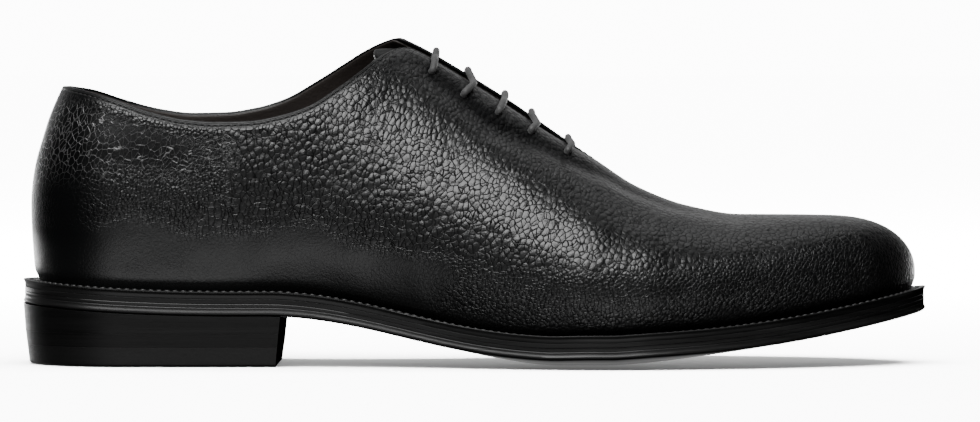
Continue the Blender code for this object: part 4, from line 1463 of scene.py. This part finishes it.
# Floor: it glows behind the shoe, as a lit backdrop does
FLOOR_SIZE = 60.0
GLOW_FROM = -0.1
GLOW_TO = 1.0
GLOW_LEVEL = 12.0
FLOOR_LIGHT = Light("floor_soft", (0.0, -0.1, 1.6), (0.0, 0.0, 0.0), 1.8, 1.8, 420.0)


def make_light(light):
    """A soft box."""
    data = bpy.data.lights.new(light.name, "AREA")
    data.shape = "RECTANGLE"
    data.size = light.width
    data.size_y = light.height
    data.energy = light.power
    return add_aimed(data, light.place, light.target)


def make_lights():
    """The soft boxes over the shoe, and the surround."""
    for light in LIGHTS:
        make_light(light)
    sky = Looks("studio", "worlds", "Background")
    place = sky.add("ShaderNodeTexCoord", "Generated")
    depth = sky.add("ShaderNodeSeparateXYZ", 1, Vector=place)
    height = sky.add("ShaderNodeSeparateXYZ", 2, Vector=place)
    back = sky.ramp(depth, 0.25, 0.93, FRONT_LEVEL, BACK_LEVEL)
    low = sky.ramp(height, 0.01, HORIZON_HEIGHT, HORIZON_LEVEL, 0.0)
    rise = sky.ramp(height, 2 * HORIZON_DEPTH, HORIZON_DEPTH)
    glow = sky.math("MULTIPLY", sky.math("MULTIPLY", sky.ramp(depth, 0.6, 0.98), low), rise)
    table = sky.math("MULTIPLY", sky.ramp(depth, -0.95, -0.7, 1.0, 0.0),
                     sky.ramp(height, -0.3, 0.0, TABLE_LEVEL, 0.0))
    level = sky.math("ADD", sky.math("ADD", back, glow), table)
    bpy.context.scene.world = sky.finish(Color=grey(1.0), Strength=level)


def floor_look():
    """Pale studio floor, which glows behind the shoe."""
    looks = Looks("pale_floor")
    cloud = looks.noise(3.0, 2.0)
    base = looks.colour(cloud, grey(0.93), grey(0.95))
    depth = looks.add("ShaderNodeSeparateXYZ", 1, Vector=looks.place())
    looks.shader.inputs["Emission Color"].default_value = grey(1.0)
    return looks.finish(Base_Color=base, Roughness=0.6,
                        Emission_Strength=looks.ramp(depth, GLOW_FROM, GLOW_TO, 0.0, GLOW_LEVEL))


def make_floor():
    """A large pale floor."""
    half = FLOOR_SIZE / 2
    data = bpy.data.meshes.new("floor")
    corners = [(-half, -half, 0.0), (half, -half, 0.0), (half, half, 0.0), (-half, half, 0.0)]
    data.from_pydata(corners, [], [(0, 1, 2, 3)])
    floor = add_object("floor", data)
    floor.location.z = -0.0001
    floor.visible_glossy = False
    floor.visible_diffuse = False
    data.materials.append(floor_look())
    lit = bpy.data.collections.new("floor_only")
    lit.objects.link(floor)
    make_light(FLOOR_LIGHT).light_linking.receiver_collection = lit


def main():
    """Builds every piece and gives it its looks."""
    make_camera()
    leather = leather_look()
    lining = lining_look()
    upper, skin = build_leather()
    mark_leather(upper)
    dress(upper, "upper_leather", leather, "upper")
    dress(build_lining(), "lining_leather", lining)
    tongue = build_tongue()
    mark_leather(tongue)
    dress(tongue, "upper_leather", leather, "tongue")
    dress(build_insole(), "lining_leather", lining, "insole")
    edge = edge_look("burnished_edge", 0.005, 0.01, 0.00005, 0.35)
    stack = edge_look("burnished_stack", 0.003, 0.006, 0.00012, 0.2)
    dress(build_outsole(), "sole_leather", edge, "outsole")
    dress(build_welt(), "sole_leather", edge, "welt")
    heel_upper, heel_lower, top_piece = build_heel()
    dress(heel_upper, "sole_leather", stack, "heel_lift_upper")
    dress(heel_lower, "sole_leather", stack, "heel_lift_lower")
    dress(top_piece, "heel_rubber", rubber_look(), "heel_top_piece")
    dress(build_stitches(skin), "upper_leather", thread_look("black_thread", 0.02))
    dress(build_welt_stitches(), "sole_leather", thread_look("welt_thread", 0.03))
    bars = [f"lace_bar_{k + 1}" for k in range(len(EYELETS))]
    dress(build_cord(skin), "lace_cord", cord_look(), *bars)
    make_lights()
    make_floor()


main()
